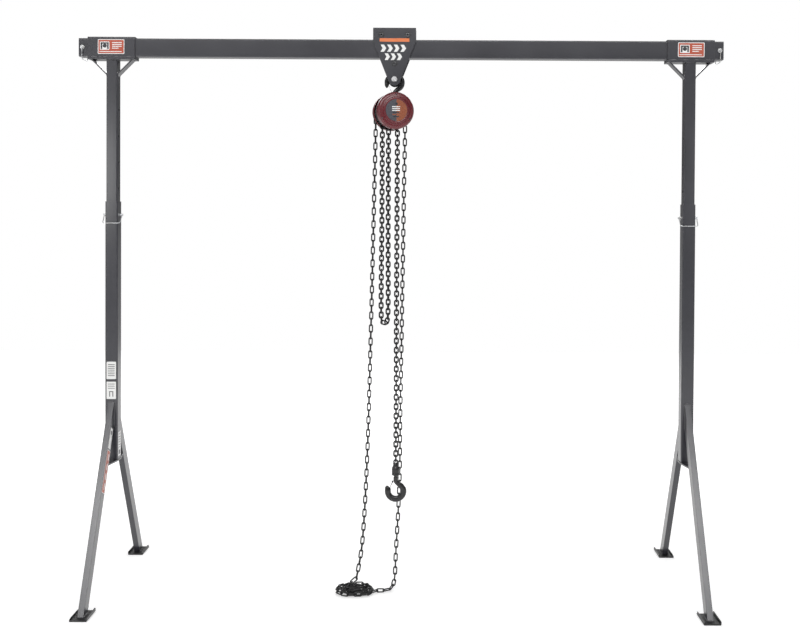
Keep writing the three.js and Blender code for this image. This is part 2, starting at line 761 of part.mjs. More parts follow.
function chainGuide() {
  const { width, height, z, hole } = GUIDE;
  const [near, far] = [FRONT_CHEEK.far + GAP, REAR_CHEEK.near - GAP];
  const body = block([-width / 2 + 4, near, z], [width / 2, far, z + height]);
  const passage = (x) => bar("z", hole, z - 5, z + height + 5, [x, SHEAVE.y], 16);
  return cut(body, passage(HOOK_STRAND_X), passage(SLACK_X));
}

function hoist() {
  const swivel = new THREE.Vector3(TROLLEY_X - HOIST.x, 0, 0).applyAxisAngle(Z, -HOIST.yaw);
  const left = named("left_disc_gear", discGear(), "steel");
  const right = named("right_disc_gear", discGear(), "steel");
  left.position.x = -GEAR_CENTRES;
  right.position.x = GEAR_CENTRES;
  const pawlMesh = named("pawl", pawl(), "steel");
  pawlMesh.position.set(PAWL.x, 0, PAWL.z);
  const frontHoles = [
    [0, 0, SHEAVE.hub + GAP],
    [-GEAR_CENTRES, 0, AXLE_RADIUS + GAP],
    [GEAR_CENTRES, 0, AXLE_RADIUS + GAP],
  ];
  const rearHoles = [[0, 0, SHEAVE.hub + GAP]];
  const frontPlate = slabY(sidePlateOutline(frontHoles), FRONT_CHEEK.near, FRONT_CHEEK.far, FINE);
  const rearPlate = slabY(sidePlateOutline(rearHoles), REAR_CHEEK.near, REAR_CHEEK.far, FINE);
  const holder = group(
    named("gear_cover", gearCover(), "red"),
    named("hand_wheel_cover", wheelCover(), "red"),
    named("front_side_plate", frontPlate, "black"),
    named("rear_side_plate", rearPlate, "black"),
    named("suspension_crosshead", crosshead(swivel.x, swivel.y), "black"),
    named("chain_anchor", chainAnchor(), "black"),
    named("chain_guide", chainGuide(), "black"),
    named("drive_shaft", driveShaft(), "steel"),
    named("hand_wheel", handWheel(), "steel"),
    named("ratchet_disc", ratchetDisc(), "steel"),
    named("load_gear", loadGear(), "steel"),
    named("load_sheave", loadSheave(), "steel"),
    pawlMesh,
    left,
    right,
  );
  holder.rotation.z = HOIST.yaw;
  holder.position.set(HOIST.x, 0, HOIST.z);
  return holder;
}

// ---- chains, hook block and bottom hook ------------------------------------------------

// A place in the hoist's own frame, in the crane's frame.
function fromHoist(x, y, z) {
  return new THREE.Vector3(x, y, 0)
    .applyAxisAngle(Z, HOIST.yaw)
    .add(new THREE.Vector3(HOIST.x, 0, z));
}

function route(points) {
  return new THREE.CatmullRomCurve3(points.map(([x, y, z]) => new THREE.Vector3(x, y, z)));
}

const HAND_CHAIN_LEFT = [
  [-97.4, 28.8, HAND_CHAIN.top],
  [-98.5, 28.5, 1680],
  [-102, 27.5, 1500],
  [-106, 26, 1290],
  [-109.5, 23.5, 1100],
  [-113.5, 19.5, 900],
  [-117.5, 12.5, 700],
  [-121.5, 3, 530],
  [-126.5, -12, 380],
  [-132, -32, 250],
  [-139, -54, 150],
  [-149, -76, 85],
  [-159, -94, 42],
];
const HAND_CHAIN_RIGHT = [
  [14.2, 56.6, HAND_CHAIN.top],
  [13.5, 56.5, 1680],
  [11, 56, 1500],
  [9, 55.5, 1290],
  [6.5, 57, 1100],
  [4.5, 57.5, 900],
  [2, 58.5, 700],
  [1, 59, 530],
  [0, 57.5, 400],
  [-3, 51.5, 300],
  [-8, 33, 190],
  [-12, 5, 105],
  [-13, -30, 50],
  [-16, -58, 24],
  [-24, -86, 11.5],
  [-38, -101, 9.2],
  [-58, -106, 8.8],
  [-78, -107, 8.8],
];

function handChain(points) {
  return swept(route(points), HAND_CHAIN.radius, HAND_CHAIN.sides, 32);
}

// The heap of spare hand chain on the floor.
function chainHeap() {
  const profile = [
    [0, 0],
    [42, 0],
    [45, 8],
    [40, 19],
    [27, 30],
    [11, 34],
    [0, 34],
  ];
  return turned(profile, 20).rotateX(Math.PI / 2).scale(1.7, 1.08, 1).translate(-160, -110, 0);
}

function hookStrand() {
  const { x, y } = fromHoist(HOOK_STRAND_X, SHEAVE.y, 0);
  return bar("z", LOAD_CHAIN.radius, BLOCK.top + GAP, LOAD_CHAIN.top, [x, y], LOAD_CHAIN.sides);
}

// The slack side of the load chain, down from the sheave and back up to its anchor.
function slackLoop() {
  const start = fromHoist(SLACK_X, SHEAVE.y, LOAD_CHAIN.top);
  const end = fromHoist(ANCHOR.x, SHEAVE.y, HOIST.z + ANCHOR.z - ANCHOR.size / 2 - GAP);
  const middle = start.clone().add(end).multiplyScalar(0.5);
  const across = end.clone().sub(start).setZ(0).multiplyScalar(0.5);
  const turn = Array.from({ length: 7 }, (_, i) => {
    const angle = (i / 6) * Math.PI;
    const point = middle.clone().addScaledVector(across, -Math.cos(angle));
    return point.setZ(SLACK_LOOP_BOTTOM - across.length() * Math.sin(angle)).toArray();
  });
  const halfway = (SLACK_LOOP_BOTTOM + LOAD_CHAIN.top) / 2;
  const points = [
    start.toArray(),
    [start.x, start.y, halfway],
    ...turn,
    [end.x, end.y, halfway],
    end.toArray(),
  ];
  return swept(route(points), LOAD_CHAIN.radius, LOAD_CHAIN.sides, 60);
}

function hookBlock() {
  const { radius, neck, bottom, shoulder, top } = BLOCK;
  const body = turned([
    [0, bottom],
    [radius - 1, bottom],
    [radius, bottom + 1],
    [radius, shoulder],
    [neck, top - 4],
    [neck - 2, top],
    [0, top],
  ], 24).rotateX(Math.PI / 2);
  const shankBore = bar("z", HOOK.shank + GAP, bottom - 5, shoulder - 4);
  return join(cut(body, shankBore), bar("y", 4, -BLOCK.pinReach, BLOCK.pinReach, [0, BLOCK.pin]));
}

function lowerHook() {
  const place = fromHoist(HOOK_STRAND_X, SHEAVE.y, 0);
  const hookGroup = group(
    named("bottom_hook", hook(BLOCK.shoulder - 5 - BOTTOM_HOOK_Z), "black"),
    named("bottom_hook_latch", latch(), "black"),
  );
  hookGroup.position.z = BOTTOM_HOOK_Z;
  const holder = group(
    named("hook_block", hookBlock(), "black"),
    hookGroup,
  );
  holder.position.set(place.x, place.y, 0);
  return holder;
}

// ---- the crane -------------------------------------------------------------------------

const crane = group(beamTube(), trolley(), topHook(), hoist(), lowerHook());
for (const [side, label] of [
  [-1, "left"],
  [1, "right"],
]) {
  crane.add(mast(side, label), stand(side, label), postPin(side, label), beamPin(side, label));
}
crane.add(
  named("hand_chain_left", handChain(HAND_CHAIN_LEFT), "black"),
  named("hand_chain_right", handChain(HAND_CHAIN_RIGHT), "black"),
  named("hand_chain_heap", chainHeap(), "black"),
  named("load_chain_hook_strand", hookStrand(), "black"),
  named("load_chain_slack_loop", slackLoop(), "black"),
);

export default crane;
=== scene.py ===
"""Looks for the portable gantry crane: chains, hooks, covers, pins, welds, labels, paint.

Everything is placed in the CAD frame: X along the beam, Y front to back (the front is -Y) and
Z up from the floor. Sizes are in millimetres, as the CAD's are, and MM turns them into metres.
"""

import json
import math
import random

import bpy
from mathutils import Matrix, Vector


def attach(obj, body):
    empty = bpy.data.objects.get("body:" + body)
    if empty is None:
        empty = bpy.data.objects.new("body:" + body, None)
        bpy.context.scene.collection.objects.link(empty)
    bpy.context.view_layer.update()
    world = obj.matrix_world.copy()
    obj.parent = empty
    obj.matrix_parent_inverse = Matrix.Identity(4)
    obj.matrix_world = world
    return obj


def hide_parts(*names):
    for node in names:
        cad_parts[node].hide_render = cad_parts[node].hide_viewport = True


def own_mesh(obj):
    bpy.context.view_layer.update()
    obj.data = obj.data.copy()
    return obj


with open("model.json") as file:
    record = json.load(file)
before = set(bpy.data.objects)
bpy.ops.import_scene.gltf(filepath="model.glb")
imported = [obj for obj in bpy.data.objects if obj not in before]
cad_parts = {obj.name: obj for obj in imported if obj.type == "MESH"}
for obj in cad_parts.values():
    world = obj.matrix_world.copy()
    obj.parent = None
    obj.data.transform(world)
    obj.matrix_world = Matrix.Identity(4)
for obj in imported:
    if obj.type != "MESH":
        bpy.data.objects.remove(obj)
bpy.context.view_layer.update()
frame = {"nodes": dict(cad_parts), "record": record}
TAU = 2 * math.pi
MM = 0.001
SIDES = ((-1, "left"), (1, "right"))

# Where the CAD's parts are, in mm.
POST_X = 1095  # from the middle of the crane to each post
POST_PIN_Z = 1404
BEAM_PIN_X, BEAM_PIN_Z = 1204.5, 2037
TROLLEY_X = -25
ROLLER_X, ROLLER_Z = 50, 2088  # x from the trolley's middle
KEEPER_Z = 1981
LOAD_PIN_Z = 1922
TOP_BOWL_Z, BOTTOM_BOWL_Z = 1913.1, 352  # the centres of the hooks' bowls
BLOCK_PIN_Z = 450
LOOP_BOTTOM_Z, STRAND_TOP_Z = 1007, 1770

# How far the faces that carry labels and screws are from their part's middle, in mm.
SLEEVE_FACE, CHEEK_FACE, POST_FACE, LEG_FACE, COVER_FACE = 30, 34, 24, 11, 65


def shift(x, y, z):
    """A move in mm."""
    return Matrix.Translation((x * MM, y * MM, z * MM))


def turned(degrees, axis):
    return Matrix.Rotation(math.radians(degrees), 4, axis)


HOIST_FRAME = shift(-31, 0, 1802) @ turned(14, "Z")


def from_hoist(x, y, z):
    """A point in the hoist's own frame, in mm, as a point of the crane in metres."""
    return HOIST_FRAME @ (Vector((x, y, z)) * MM)


def configure(thing, **settings):
    for key, value in settings.items():
        setattr(thing, key, value)
    return thing


def in_scene(name, data):
    obj = bpy.data.objects.new(name, data)
    bpy.context.scene.collection.objects.link(obj)
    return obj


# ---- camera ----

CAMERA_PLACE = (0.1123, -3.9495, 1.4210)
CAMERA_TILT, CAMERA_ROLL = 89.119, 0.318


def make_camera():
    """The photograph's viewpoint: standing in front of the crane, at chest height."""
    data = bpy.data.cameras.new("view")
    configure(data, sensor_width=36, lens=46.61, shift_x=-0.0374, shift_y=-0.1150)
    camera = in_scene("view", data)
    look = turned(CAMERA_TILT, "X") @ turned(CAMERA_ROLL, "Z")
    camera.matrix_world = Matrix.Translation(CAMERA_PLACE) @ look
    bpy.context.scene.camera = camera


make_camera()


# ---- materials ----


class Nodes:
    """Adds nodes to a tree. An input is a value, or another node's output to link."""

    def __init__(self, tree):
        self.tree = tree

    def join(self, value, socket):
        if isinstance(value, bpy.types.NodeSocket):
            self.tree.links.new(value, socket)
        else:
            socket.default_value = value

    def add(self, kind, inputs=None, **settings):
        node = configure(self.tree.nodes.new(kind), **settings)
        for key, value in (inputs or {}).items():
            self.join(value, node.inputs[key])
        return node

    def spread(self, value, low, high, to_low=0, to_high=1):
        """Maps value from low..high to to_low..to_high, held at the ends."""
        values = {"Value": value, 1: low, 2: high, 3: to_low, 4: to_high}
        return self.add("ShaderNodeMapRange", values).outputs[0]

    def math(self, operation, first, second):
        return self.add("ShaderNodeMath", {0: first, 1: second}, operation=operation).outputs[0]


class Finish(Nodes):
    """A material whose nodes are added one by one round its Principled shader."""

    def __init__(self, name):
        self.material = bpy.data.materials.new(name)
        self.material.use_nodes = True
        super().__init__(self.material.node_tree)
        self.shader = self.tree.nodes["Principled BSDF"]
        self.place = self.add("ShaderNodeTexCoord").outputs["Object"]

    def noise(self, scale, detail=3, roughness=0.55, stretch=None):
        """Noise with `scale` features to a metre, drawn out along an axis by `stretch`."""
        place = self.place
        if stretch:
            place = self.add("ShaderNodeMapping", {"Vector": place, "Scale": stretch}).outputs[0]
        values = {"Vector": place, "Scale": scale, "Detail": detail, "Roughness": roughness}
        return self.add("ShaderNodeTexNoise", values).outputs["Fac"]

    def mix(self, share, first, second):
        values = {0: share, 6: first, 7: second}
        return self.add("ShaderNodeMix", values, data_type="RGBA").outputs[2]

    def tones(self, value, low, high, colour, dark, light):
        """A colour from dark to light times itself, as value goes from low to high."""
        share = self.spread(value, low, high)
        return self.mix(share, tinted(colour, dark), tinted(colour, light))

    def edges(self):
        """Near 1 along sharp edges and 0 on the flats."""
        rounded = self.add("ShaderNodeBevel", {"Radius": 0.0016}, samples=4).outputs[0]
        true = self.add("ShaderNodeNewGeometry").outputs["Normal"]
        turn = self.add("ShaderNodeVectorMath", {0: rounded, 1: true}, operation="DOT_PRODUCT")
        return self.spread(turn.outputs["Value"], 0.97, 0.80)

    def bump(self, height, strength, depth, under=None):
        values = {"Height": height, "Strength": strength, "Distance": depth}
        if under is not None:
            values["Normal"] = under
        return self.add("ShaderNodeBump", values).outputs[0]

    def set(self, **values):
        for key, value in values.items():
            self.join(value, self.shader.inputs[key.replace("_", " ")])


def rgb(red, green, blue):
    return (red, green, blue, 1.0)


def tinted(colour, factor):
    return rgb(*(min(1.0, channel * factor) for channel in colour[:3]))


def paint(name, colour, roughness, gloss, peel=0.06, bare=rgb(0.22, 0.21, 0.20)):
    """Sprayed coating: orange peel, soft cloudy tone, roll lines, rubbed edges and scuffs."""
    f = Finish(name)
    cloud = f.noise(4, 4)
    mottle = f.noise(120, 3)
    lines = f.noise(30, 2, 0.5, (0.04, 1.0, 0.6))
    scuff = f.spread(f.noise(30, 9, 0.7, (1.0, 1.0, 0.3)), 0.66, 0.72, 0, 0.22)
    chips = f.math("MULTIPLY", f.edges(), f.spread(mottle, 0.50, 0.62, 0, 0.8))
    base = f.tones(cloud, 0.3, 0.7, colour, 0.88, 1.12)
    base = f.mix(f.spread(lines, 0.3, 0.7, 0, 0.35), base, tinted(colour, 0.72))
    base = f.mix(f.spread(mottle, 0.35, 0.7, 0, 0.12), base, tinted(colour, 1.35))
    base = f.mix(scuff, base, tinted(colour, 1.9))
    base = f.mix(chips, base, bare)
    shine = f.spread(cloud, 0.3, 0.7, roughness - 0.04, roughness + 0.05)
    grain = f.bump(f.noise(900, 2), peel, 0.0003)
    wave = f.bump(f.noise(70, 2), peel, 0.0008, grain)
    f.set(Base_Color=base, Roughness=f.math("ADD", shine, scuff), Normal=wave)
    f.set(Coat_Weight=gloss, Coat_Roughness=0.18)
    return f.material


def metal(name, colour, roughness, tarnish, brushed=None):
    """Bare or plated metal: uneven roughness, tarnish in patches and fine tool marks."""
    f = Finish(name)
    cloud = f.noise(26, 5, 0.6)
    fine = f.noise(420, 3, 0.6, brushed)
    base = f.tones(fine, 0.35, 0.65, colour, 0.88, 1.10)
    base = f.mix(f.spread(cloud, 0.46, 0.66, 0, 0.75), base, tarnish)
    low, high = roughness - 0.06, roughness + 0.12
    shine = f.math("ADD", f.spread(fine, 0.3, 0.7, low, high), f.spread(cloud, 0.4, 0.7, 0, 0.10))
    f.set(Base_Color=base, Roughness=shine, Metallic=1.0)
    f.set(Normal=f.bump(fine, 0.12, 0.0003))
    return f.material


def forged(name, colour, roughness, gloss, rubbed=0.2):
    """Forged steel under black paint or oxide: shallow scale pits and oily sheen."""
    f = Finish(name)
    pits = f.noise(240, 4, 0.65)
    rust = f.spread(f.noise(75, 6, 0.7), 0.64, 0.74, 0, 0.35)
    base = f.tones(f.noise(34, 4), 0.35, 0.65, colour, 0.7, 1.5)
    base = f.mix(rust, base, rgb(0.055, 0.034, 0.024))
    base = f.mix(f.math("MULTIPLY", f.edges(), rubbed), base, rgb(0.14, 0.135, 0.13))
    f.set(Base_Color=base, Metallic=0.2, Coat_Weight=gloss, Coat_Roughness=0.12)
    f.set(Roughness=f.spread(pits, 0.3, 0.7, roughness - 0.07, roughness + 0.13))
    f.set(Normal=f.bump(pits, 0.16, 0.0006))
    return f.material


def sticker(name, colour):
    """Printed vinyl: slight print mottle, finger marks and a faint texture."""
    f = Finish(name)
    mottle = f.noise(700, 2)
    smear = f.noise(30, 4)
    base = f.tones(mottle, 0.3, 0.7, colour, 0.94, 1.05)
    base = f.mix(f.spread(smear, 0.55, 0.75, 0, 0.16), base, rgb(0.30, 0.28, 0.26))
    f.set(Base_Color=base, Roughness=f.spread(smear, 0.3, 0.7, 0.30, 0.46))
    f.set(Normal=f.bump(mottle, 0.04, 0.0002))
    return f.material


def weld_metal(name, colour):
    """Painted-over weld: the ripples are geometry, and this adds spatter and grain."""
    f = Finish(name)
    grain = f.noise(900, 4, 0.65)
    base = f.tones(f.noise(60, 3), 0.35, 0.65, colour, 0.8, 1.35)
    f.set(Base_Color=base, Roughness=f.spread(grain, 0.3, 0.7, 0.28, 0.48))
    f.set(Normal=f.bump(grain, 0.3, 0.0005), Coat_Weight=0.5, Coat_Roughness=0.2)
    return f.material


ENAMEL, WORN_ENAMEL = rgb(0.112, 0.0075, 0.013), rgb(0.12, 0.02, 0.022)
ZINC, DULL_ZINC = rgb(0.62, 0.63, 0.65), rgb(0.40, 0.39, 0.35)
TURNED, DULL_TURNED = rgb(0.66, 0.66, 0.67), rgb(0.61, 0.605, 0.59)
STEEL, OILED_STEEL = rgb(0.26, 0.255, 0.25), rgb(0.12, 0.10, 0.09)
MATERIAL = {
    "charcoal": paint("charcoal_coat", rgb(0.029, 0.029, 0.036), 0.33, 0.5),
    "foot": paint("foot_coat", rgb(0.010, 0.010, 0.011), 0.42, 0.2, 0.12),
    "red": paint("hoist_enamel", ENAMEL, 0.34, 0.3, 0.03, WORN_ENAMEL),
    "plate": paint("hoist_black_coat", rgb(0.012, 0.012, 0.014), 0.36, 0.4, 0.08),
    "zinc": metal("zinc_plate", ZINC, 0.27, DULL_ZINC),
    "bright": metal("turned_steel", TURNED, 0.30, DULL_TURNED, (1, 5, 1)),
    "steel": metal("gear_steel", STEEL, 0.36, OILED_STEEL, (6, 1, 6)),
    "bolt": forged("black_bolt", rgb(0.050, 0.050, 0.055), 0.30, 0.3),
    "hook": forged("black_forging", rgb(0.006, 0.006, 0.007), 0.28, 0.4, 0.08),
    "chain": forged("black_oxide_chain", rgb(0.006, 0.006, 0.007), 0.34, 0.1, 0.0),
    "weld": weld_metal("painted_weld", rgb(0.070, 0.070, 0.076)),
    "amber": sticker("amber_vinyl", rgb(0.66, 0.175, 0.055)),
    "orange": sticker("orange_vinyl", rgb(0.40, 0.070, 0.034)),
    "rust": sticker("browned_orange", rgb(0.24, 0.066, 0.026)),
    "white": sticker("white_vinyl", rgb(0.72, 0.72, 0.71)),
    "ink": sticker("dark_print", rgb(0.022, 0.023, 0.028)),
    "grey": sticker("grey_print", rgb(0.060, 0.060, 0.072)),
}


# ---- mesh tools ----


def merged(parts):
    """Several (points, faces) as one."""
    points, faces = [], []
    for part_points, part_faces in parts:
        start = len(points)
        points.extend(part_points)
        faces.extend([tuple(i + start for i in face) for face in part_faces])
    return points, faces


def moved(part, matrix):
    points, faces = part
    flip = matrix.determinant() < 0
    wound = [tuple(reversed(face)) for face in faces] if flip else faces
    return [matrix @ Vector(p) for p in points], wound


def mesh_object(name, part):
    points, faces = part
    mesh = bpy.data.meshes.new(name)
    mesh.from_pydata([tuple(p) for p in points], [], faces)
    return in_scene(name, mesh)


def dress(mesh, material):
    """One material and smooth shading all over."""
    count = len(mesh.polygons)
    mesh.materials.clear()
    mesh.materials.append(MATERIAL[material])
    mesh.polygons.foreach_set("material_index", [0] * count)
    mesh.polygons.foreach_set("use_smooth", [True] * count)


def modify(obj, kind, **settings):
    configure(obj.modifiers.new(kind.lower(), kind), **settings)


def piece(name, part, body, slot, material, *replaces, sharp=None):
    """A new mesh that rides on a CAD body. Edges past `sharp` degrees stay sharp."""
    obj = mesh_object(name, part)
    obj.data.validate()
    dress(obj.data, material)
    if sharp:
        obj.data.set_sharp_from_angle(angle=math.radians(sharp))
    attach(obj, body)
    if replaces:
        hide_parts(*replaces)
    return obj


def circle(radius, sides):
    angles = [TAU * i / sides for i in range(sides)]
    return [(radius * math.cos(a), radius * math.sin(a)) for a in angles]


def lathe(profile, segments, axis="Y", closed=False):
    """Turns (radius, height) points in mm about an axis. A radius of 0 closes the end.

    closed joins the profile back to its first point, which makes a ring.
    """
    points, rings = [], []
    for radius, height in [*profile, profile[0]] if closed else profile:
        start = len(points)
        spots = circle(radius, segments) if radius else [(0, 0)]
        points.extend([(x * MM, y * MM, height * MM) for x, y in spots])
        rings.append(range(start, len(points)))
    faces = []
    for low, high in zip(rings, rings[1:]):
        for i in range(segments):
            j = (i + 1) % segments
            corners = [low[i % len(low)], low[j % len(low)]]
            corners += [high[j % len(high)], high[i % len(high)]]
            face = tuple(dict.fromkeys(corners))
            if len(face) > 2:
                faces.append(face)
    turns = {"Z": Matrix.Identity(4), "Y": turned(-90, "X"), "X": turned(90, "Y")}
    return moved((points, faces), turns[axis])


def prism(outline, low, high):
    """An (x, z) outline, anticlockwise seen from the front, extruded from y = low to high."""
    count = len(outline)
    points = [(x * MM, y * MM, z * MM) for y in (low, high) for x, z in outline]
    sides = [(i, (i + 1) % count, (i + 1) % count + count, i + count) for i in range(count)]
    front = tuple(range(count))
    back = tuple(reversed(range(count, 2 * count)))
    return points, [front, back, *[tuple(reversed(side)) for side in sides]]


def ring_faces(rings, sides, closed=False):
    """Faces between rings of points that follow one another."""
    faces = []
    for i in range(rings if closed else rings - 1):
        a, b = i * sides, (i + 1) % rings * sides
        for k in range(sides):
            n = (k + 1) % sides
            faces.append((a + k, a + n, b + n, b + k))
    return faces


def end_faces(rings, sides):
    """The faces that close the first and the last of such rings."""
    return [tuple(reversed(range(sides))), tuple(range((rings - 1) * sides, rings * sides))]


def frames_along(path, closed=False):
    """Two cross directions at each point, turning as little as they can."""
    before, after = (path[-1], path[0]) if closed else (path[0], path[-1])
    around = [before, *path, after]
    tangents = [(b - a).normalized() for a, b in zip(around, around[2:])]
    seed = Vector((0, 1, 0)) if abs(tangents[0].y) < 0.9 else Vector((1, 0, 0))
    side = (seed - tangents[0] * seed.dot(tangents[0])).normalized()
    frames = []
    for tangent in tangents:
        side = (side - tangent * side.dot(tangent)).normalized()
        frames.append((side, tangent.cross(side)))
    return frames


def tube(path, radius, sides, closed=False):
    """A round bar along a path. radius may be a function of the point's index."""
    at = radius if callable(radius) else lambda i: radius
    points = []
    for i, (centre, (side, up)) in enumerate(zip(path, frames_along(path, closed))):
        points.extend([centre + (side * c + up * s) * at(i) for c, s in circle(1, sides)])
    faces = ring_faces(len(path), sides, closed)
    return points, faces if closed else faces + end_faces(len(path), sides)


def smooth_path(points, per_span):
    """A centripetal Catmull-Rom curve through the points, as the CAD's routes are."""
    points = [Vector(p) for p in points]
    ends = [points[0] * 2 - points[1], *points, points[-1] * 2 - points[-2]]
    line = [points[0]]
    for p0, p1, p2, p3 in zip(ends, ends[1:], ends[2:], ends[3:]):
        d0, d1, d2 = (math.sqrt((b - a).length) for a, b in ((p0, p1), (p1, p2), (p2, p3)))
        out = ((p1 - p0) / d0 - (p2 - p0) / (d0 + d1) + (p2 - p1) / d1) * d1
        into = ((p2 - p1) / d1 - (p3 - p1) / (d1 + d2) + (p3 - p2) / d2) * d1
        for i in range(1, per_span + 1):
            t = i / per_span
            square, cube = t * t, t * t * t
            point = p1 * (2 * cube - 3 * square + 1) + out * (cube - 2 * square + t)
            line.append(point + p2 * (3 * square - 2 * cube) + into * (cube - square))
    return line


def stepped(line, step):
    """Points along the line that are each exactly one step from the last."""
    found, at, here = [line[0]], 0, line[0]
    while True:
        while at + 1 < len(line) and (line[at + 1] - found[-1]).length < step:
            at += 1
            here = line[at]
        if at + 1 >= len(line):
            return found
        low, high = 0.0, 1.0
        for _ in range(24):
            middle = (low + high) / 2
            if (here.lerp(line[at + 1], middle) - found[-1]).length < step:
                low = middle
            else:
                high = middle
        found.append(here.lerp(line[at + 1], high))
        here = found[-1]


def superellipse(angle, power):
    """A point on a rounded square of half width 1. A power of 2 gives a circle."""
    c, s = math.cos(angle), math.sin(angle)
    return math.copysign(abs(c) ** (2 / power), c), math.copysign(abs(s) ** (2 / power), s)


# ---- chains ----

HAND_CHAIN = {"wire": 5 * MM, "width": 17 * MM, "pitch": 25 * MM}
LOAD_CHAIN = {"wire": 6 * MM, "width": 20 * MM, "pitch": 18 * MM}
MOST_TWIST = 0.09  # radians between two links, beside their quarter turn
LEFT_ROUTE = [
    (-97.4, 28.8, 1785), (-98.5, 28.5, 1680), (-102, 27.5, 1500), (-106, 26, 1290),
    (-109.5, 23.5, 1100), (-113.5, 19.5, 900), (-117.5, 12.5, 700), (-121.5, 3, 530),
    (-126.5, -12, 380), (-132, -32, 250), (-139, -54, 150), (-149, -76, 85), (-159, -94, 42),
]
RIGHT_ROUTE = [
    (14.2, 56.6, 1785), (13.5, 56.5, 1680), (11, 56, 1500), (9, 55.5, 1290), (6.5, 57, 1100),
    (4.5, 57.5, 900), (2, 58.5, 700), (1, 59, 530), (0, 57.5, 400), (-3, 51.5, 300),
    (-8, 33, 190), (-12, 5, 105), (-13, -30, 50), (-16, -58, 24), (-24, -86, 11.5),
    (-38, -101, 9.2), (-58, -106, 8.8), (-78, -107, 8.8),
]
HEAP_X, HEAP_Y = -160, -110
HEAP_END = (-92, -104, 9)
HEAP_LINKS = range(74, 121)  # the links that lie in the heap, counted from the wheel
HEAP_FLAT = 12  # turns below this height lie flat on the floor
STEPS_PER_TURN = 10
# Half length, half depth and height of each turn of the heap, from its top to the floor.
HEAP_TURNS = [(24, 15, 30), (46, 27, 23), (30, 17, 17), (60, 36, 13.5), (42, 24, 10), (69, 44, 9.4)]

# Where the load chain leaves the hoist, on its slack side and on its strand, and is anchored.
SLACK_TOP = from_hoist(-17, -2, -32)
ANCHOR_END = from_hoist(-41, -2, -44.3)
STRAND = from_hoist(17.5, -2, 0)
STRAND_LINKS = 73


def chain_link(wire, width, pitch):
    """One link about the origin, lying in the XZ plane with its length along Z."""
    steps, around = 9, 8
    bend = width / 2 - wire / 2
    straight = pitch / 2 + wire / 2 - bend
    centres = []
    for way in (1, -1):
        for i in range(steps):
            angle = math.pi * i / (steps - 1)
            height = straight + bend * math.sin(angle)
            centres.append(Vector((way * bend * math.cos(angle), 0, way * height)))
    return tube(centres, wire / 2, around, closed=True)


def chain_along(line, size, roll, wander=lambda i: 0.0):
    """Links on a line, each a quarter turn from the last. Returns the mesh and its joints.

    The links are carried along the line and twist slowly back towards facing the front.
    """
    joints = stepped(line, size["pitch"])
    link = chain_link(**size)
    parts = []
    side = Vector((1, 0, 0))
    for i, (a, b) in enumerate(zip(joints, joints[1:])):
        tangent = (b - a).normalized()
        side = (side - tangent * side.dot(tangent)).normalized()
        aim = Vector((1, 0, 0)) - tangent * tangent.x
        off = math.atan2(tangent.cross(side).dot(aim), side.dot(aim))
        off = (off + math.pi / 4) % (math.pi / 2) - math.pi / 4
        twist = max(-MOST_TWIST, min(MOST_TWIST, off)) * aim.length
        side = Matrix.Rotation(twist, 3, tangent) @ side
        up = tangent.cross(side)
        angle = roll + wander(i) + (math.pi / 2) * (i % 2)
        across = side * math.cos(angle) + up * math.sin(angle)
        turn = Matrix((across, tangent.cross(across), tangent)).transposed().to_4x4()
        parts.append(moved(link, Matrix.Translation((a + b) / 2) @ turn))
    return merged(parts), joints


def chain_piece(name, mesh, *nodes):
    return piece(name, mesh, "hoist_body", "chain_black", "chain", *nodes)


def heap_route():
    """The spare hand chain, from the left strand's foot to the start of the right one."""
    rng = random.Random(23)
    points = []
    for turn, (half_x, half_y, height) in enumerate(HEAP_TURNS):
        after = HEAP_TURNS[min(turn + 1, len(HEAP_TURNS) - 1)]
        loose = height > HEAP_FLAT
        drift_x = 7 * math.sin(1.3 * turn) if loose else 0
        drift_y = 4 * math.cos(2.1 * turn) if loose else 0
        for i in range(2 if turn == 0 else 0, STEPS_PER_TURN):
            share = i / STEPS_PER_TURN
            grow = max(0.0, share - 0.5) / 0.5
            x = half_x + (after[0] - half_x) * grow + rng.uniform(-4, 4)
            y = half_y + (after[1] - half_y) * grow + rng.uniform(-3, 3)
            z = height + (after[2] - height) * grow + rng.uniform(0, 5 if loose else 0.8)
            along, across = superellipse(math.radians(35) + TAU * share, 2.6)
            points.append((HEAP_X + x * along + drift_x, HEAP_Y + y * across + drift_y, z))
    return [*points, HEAP_END]


def make_hand_chain():
    """The endless hand chain: down the left, through the heap, up the right."""
    route = LEFT_ROUTE + heap_route() + RIGHT_ROUTE[::-1]
    line = smooth_path([Vector(p) * MM for p in route], 12)
    rng = random.Random(11)
    lays = [rng.uniform(-0.25, 0.25) for _ in range(HEAP_LINKS.stop)]

    def wander(i):
        return lays[i] if i in HEAP_LINKS else 0.0

    mesh, joints = chain_along(line, HAND_CHAIN, 0.12, wander)
    nodes = ("hand_chain_left", "hand_chain_right", "hand_chain_heap")
    obj = chain_piece("hand_chain", mesh, *nodes)


def make_strand():
    """The load chain's strand that carries the hook, from the block's pin to the hoist."""
    low = Vector((STRAND.x, STRAND.y, (BLOCK_PIN_Z + 1) * MM))
    # A tenth of a millimetre over, so that the last link isn't lost to rounding.
    top = low + Vector((0, 0, STRAND_LINKS * LOAD_CHAIN["pitch"] + 0.1 * MM))
    mesh, joints = chain_along([low, top], LOAD_CHAIN, 0.08)
    obj = chain_piece("load_chain_strand", mesh, "load_chain_hook_strand")
    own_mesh(obj)


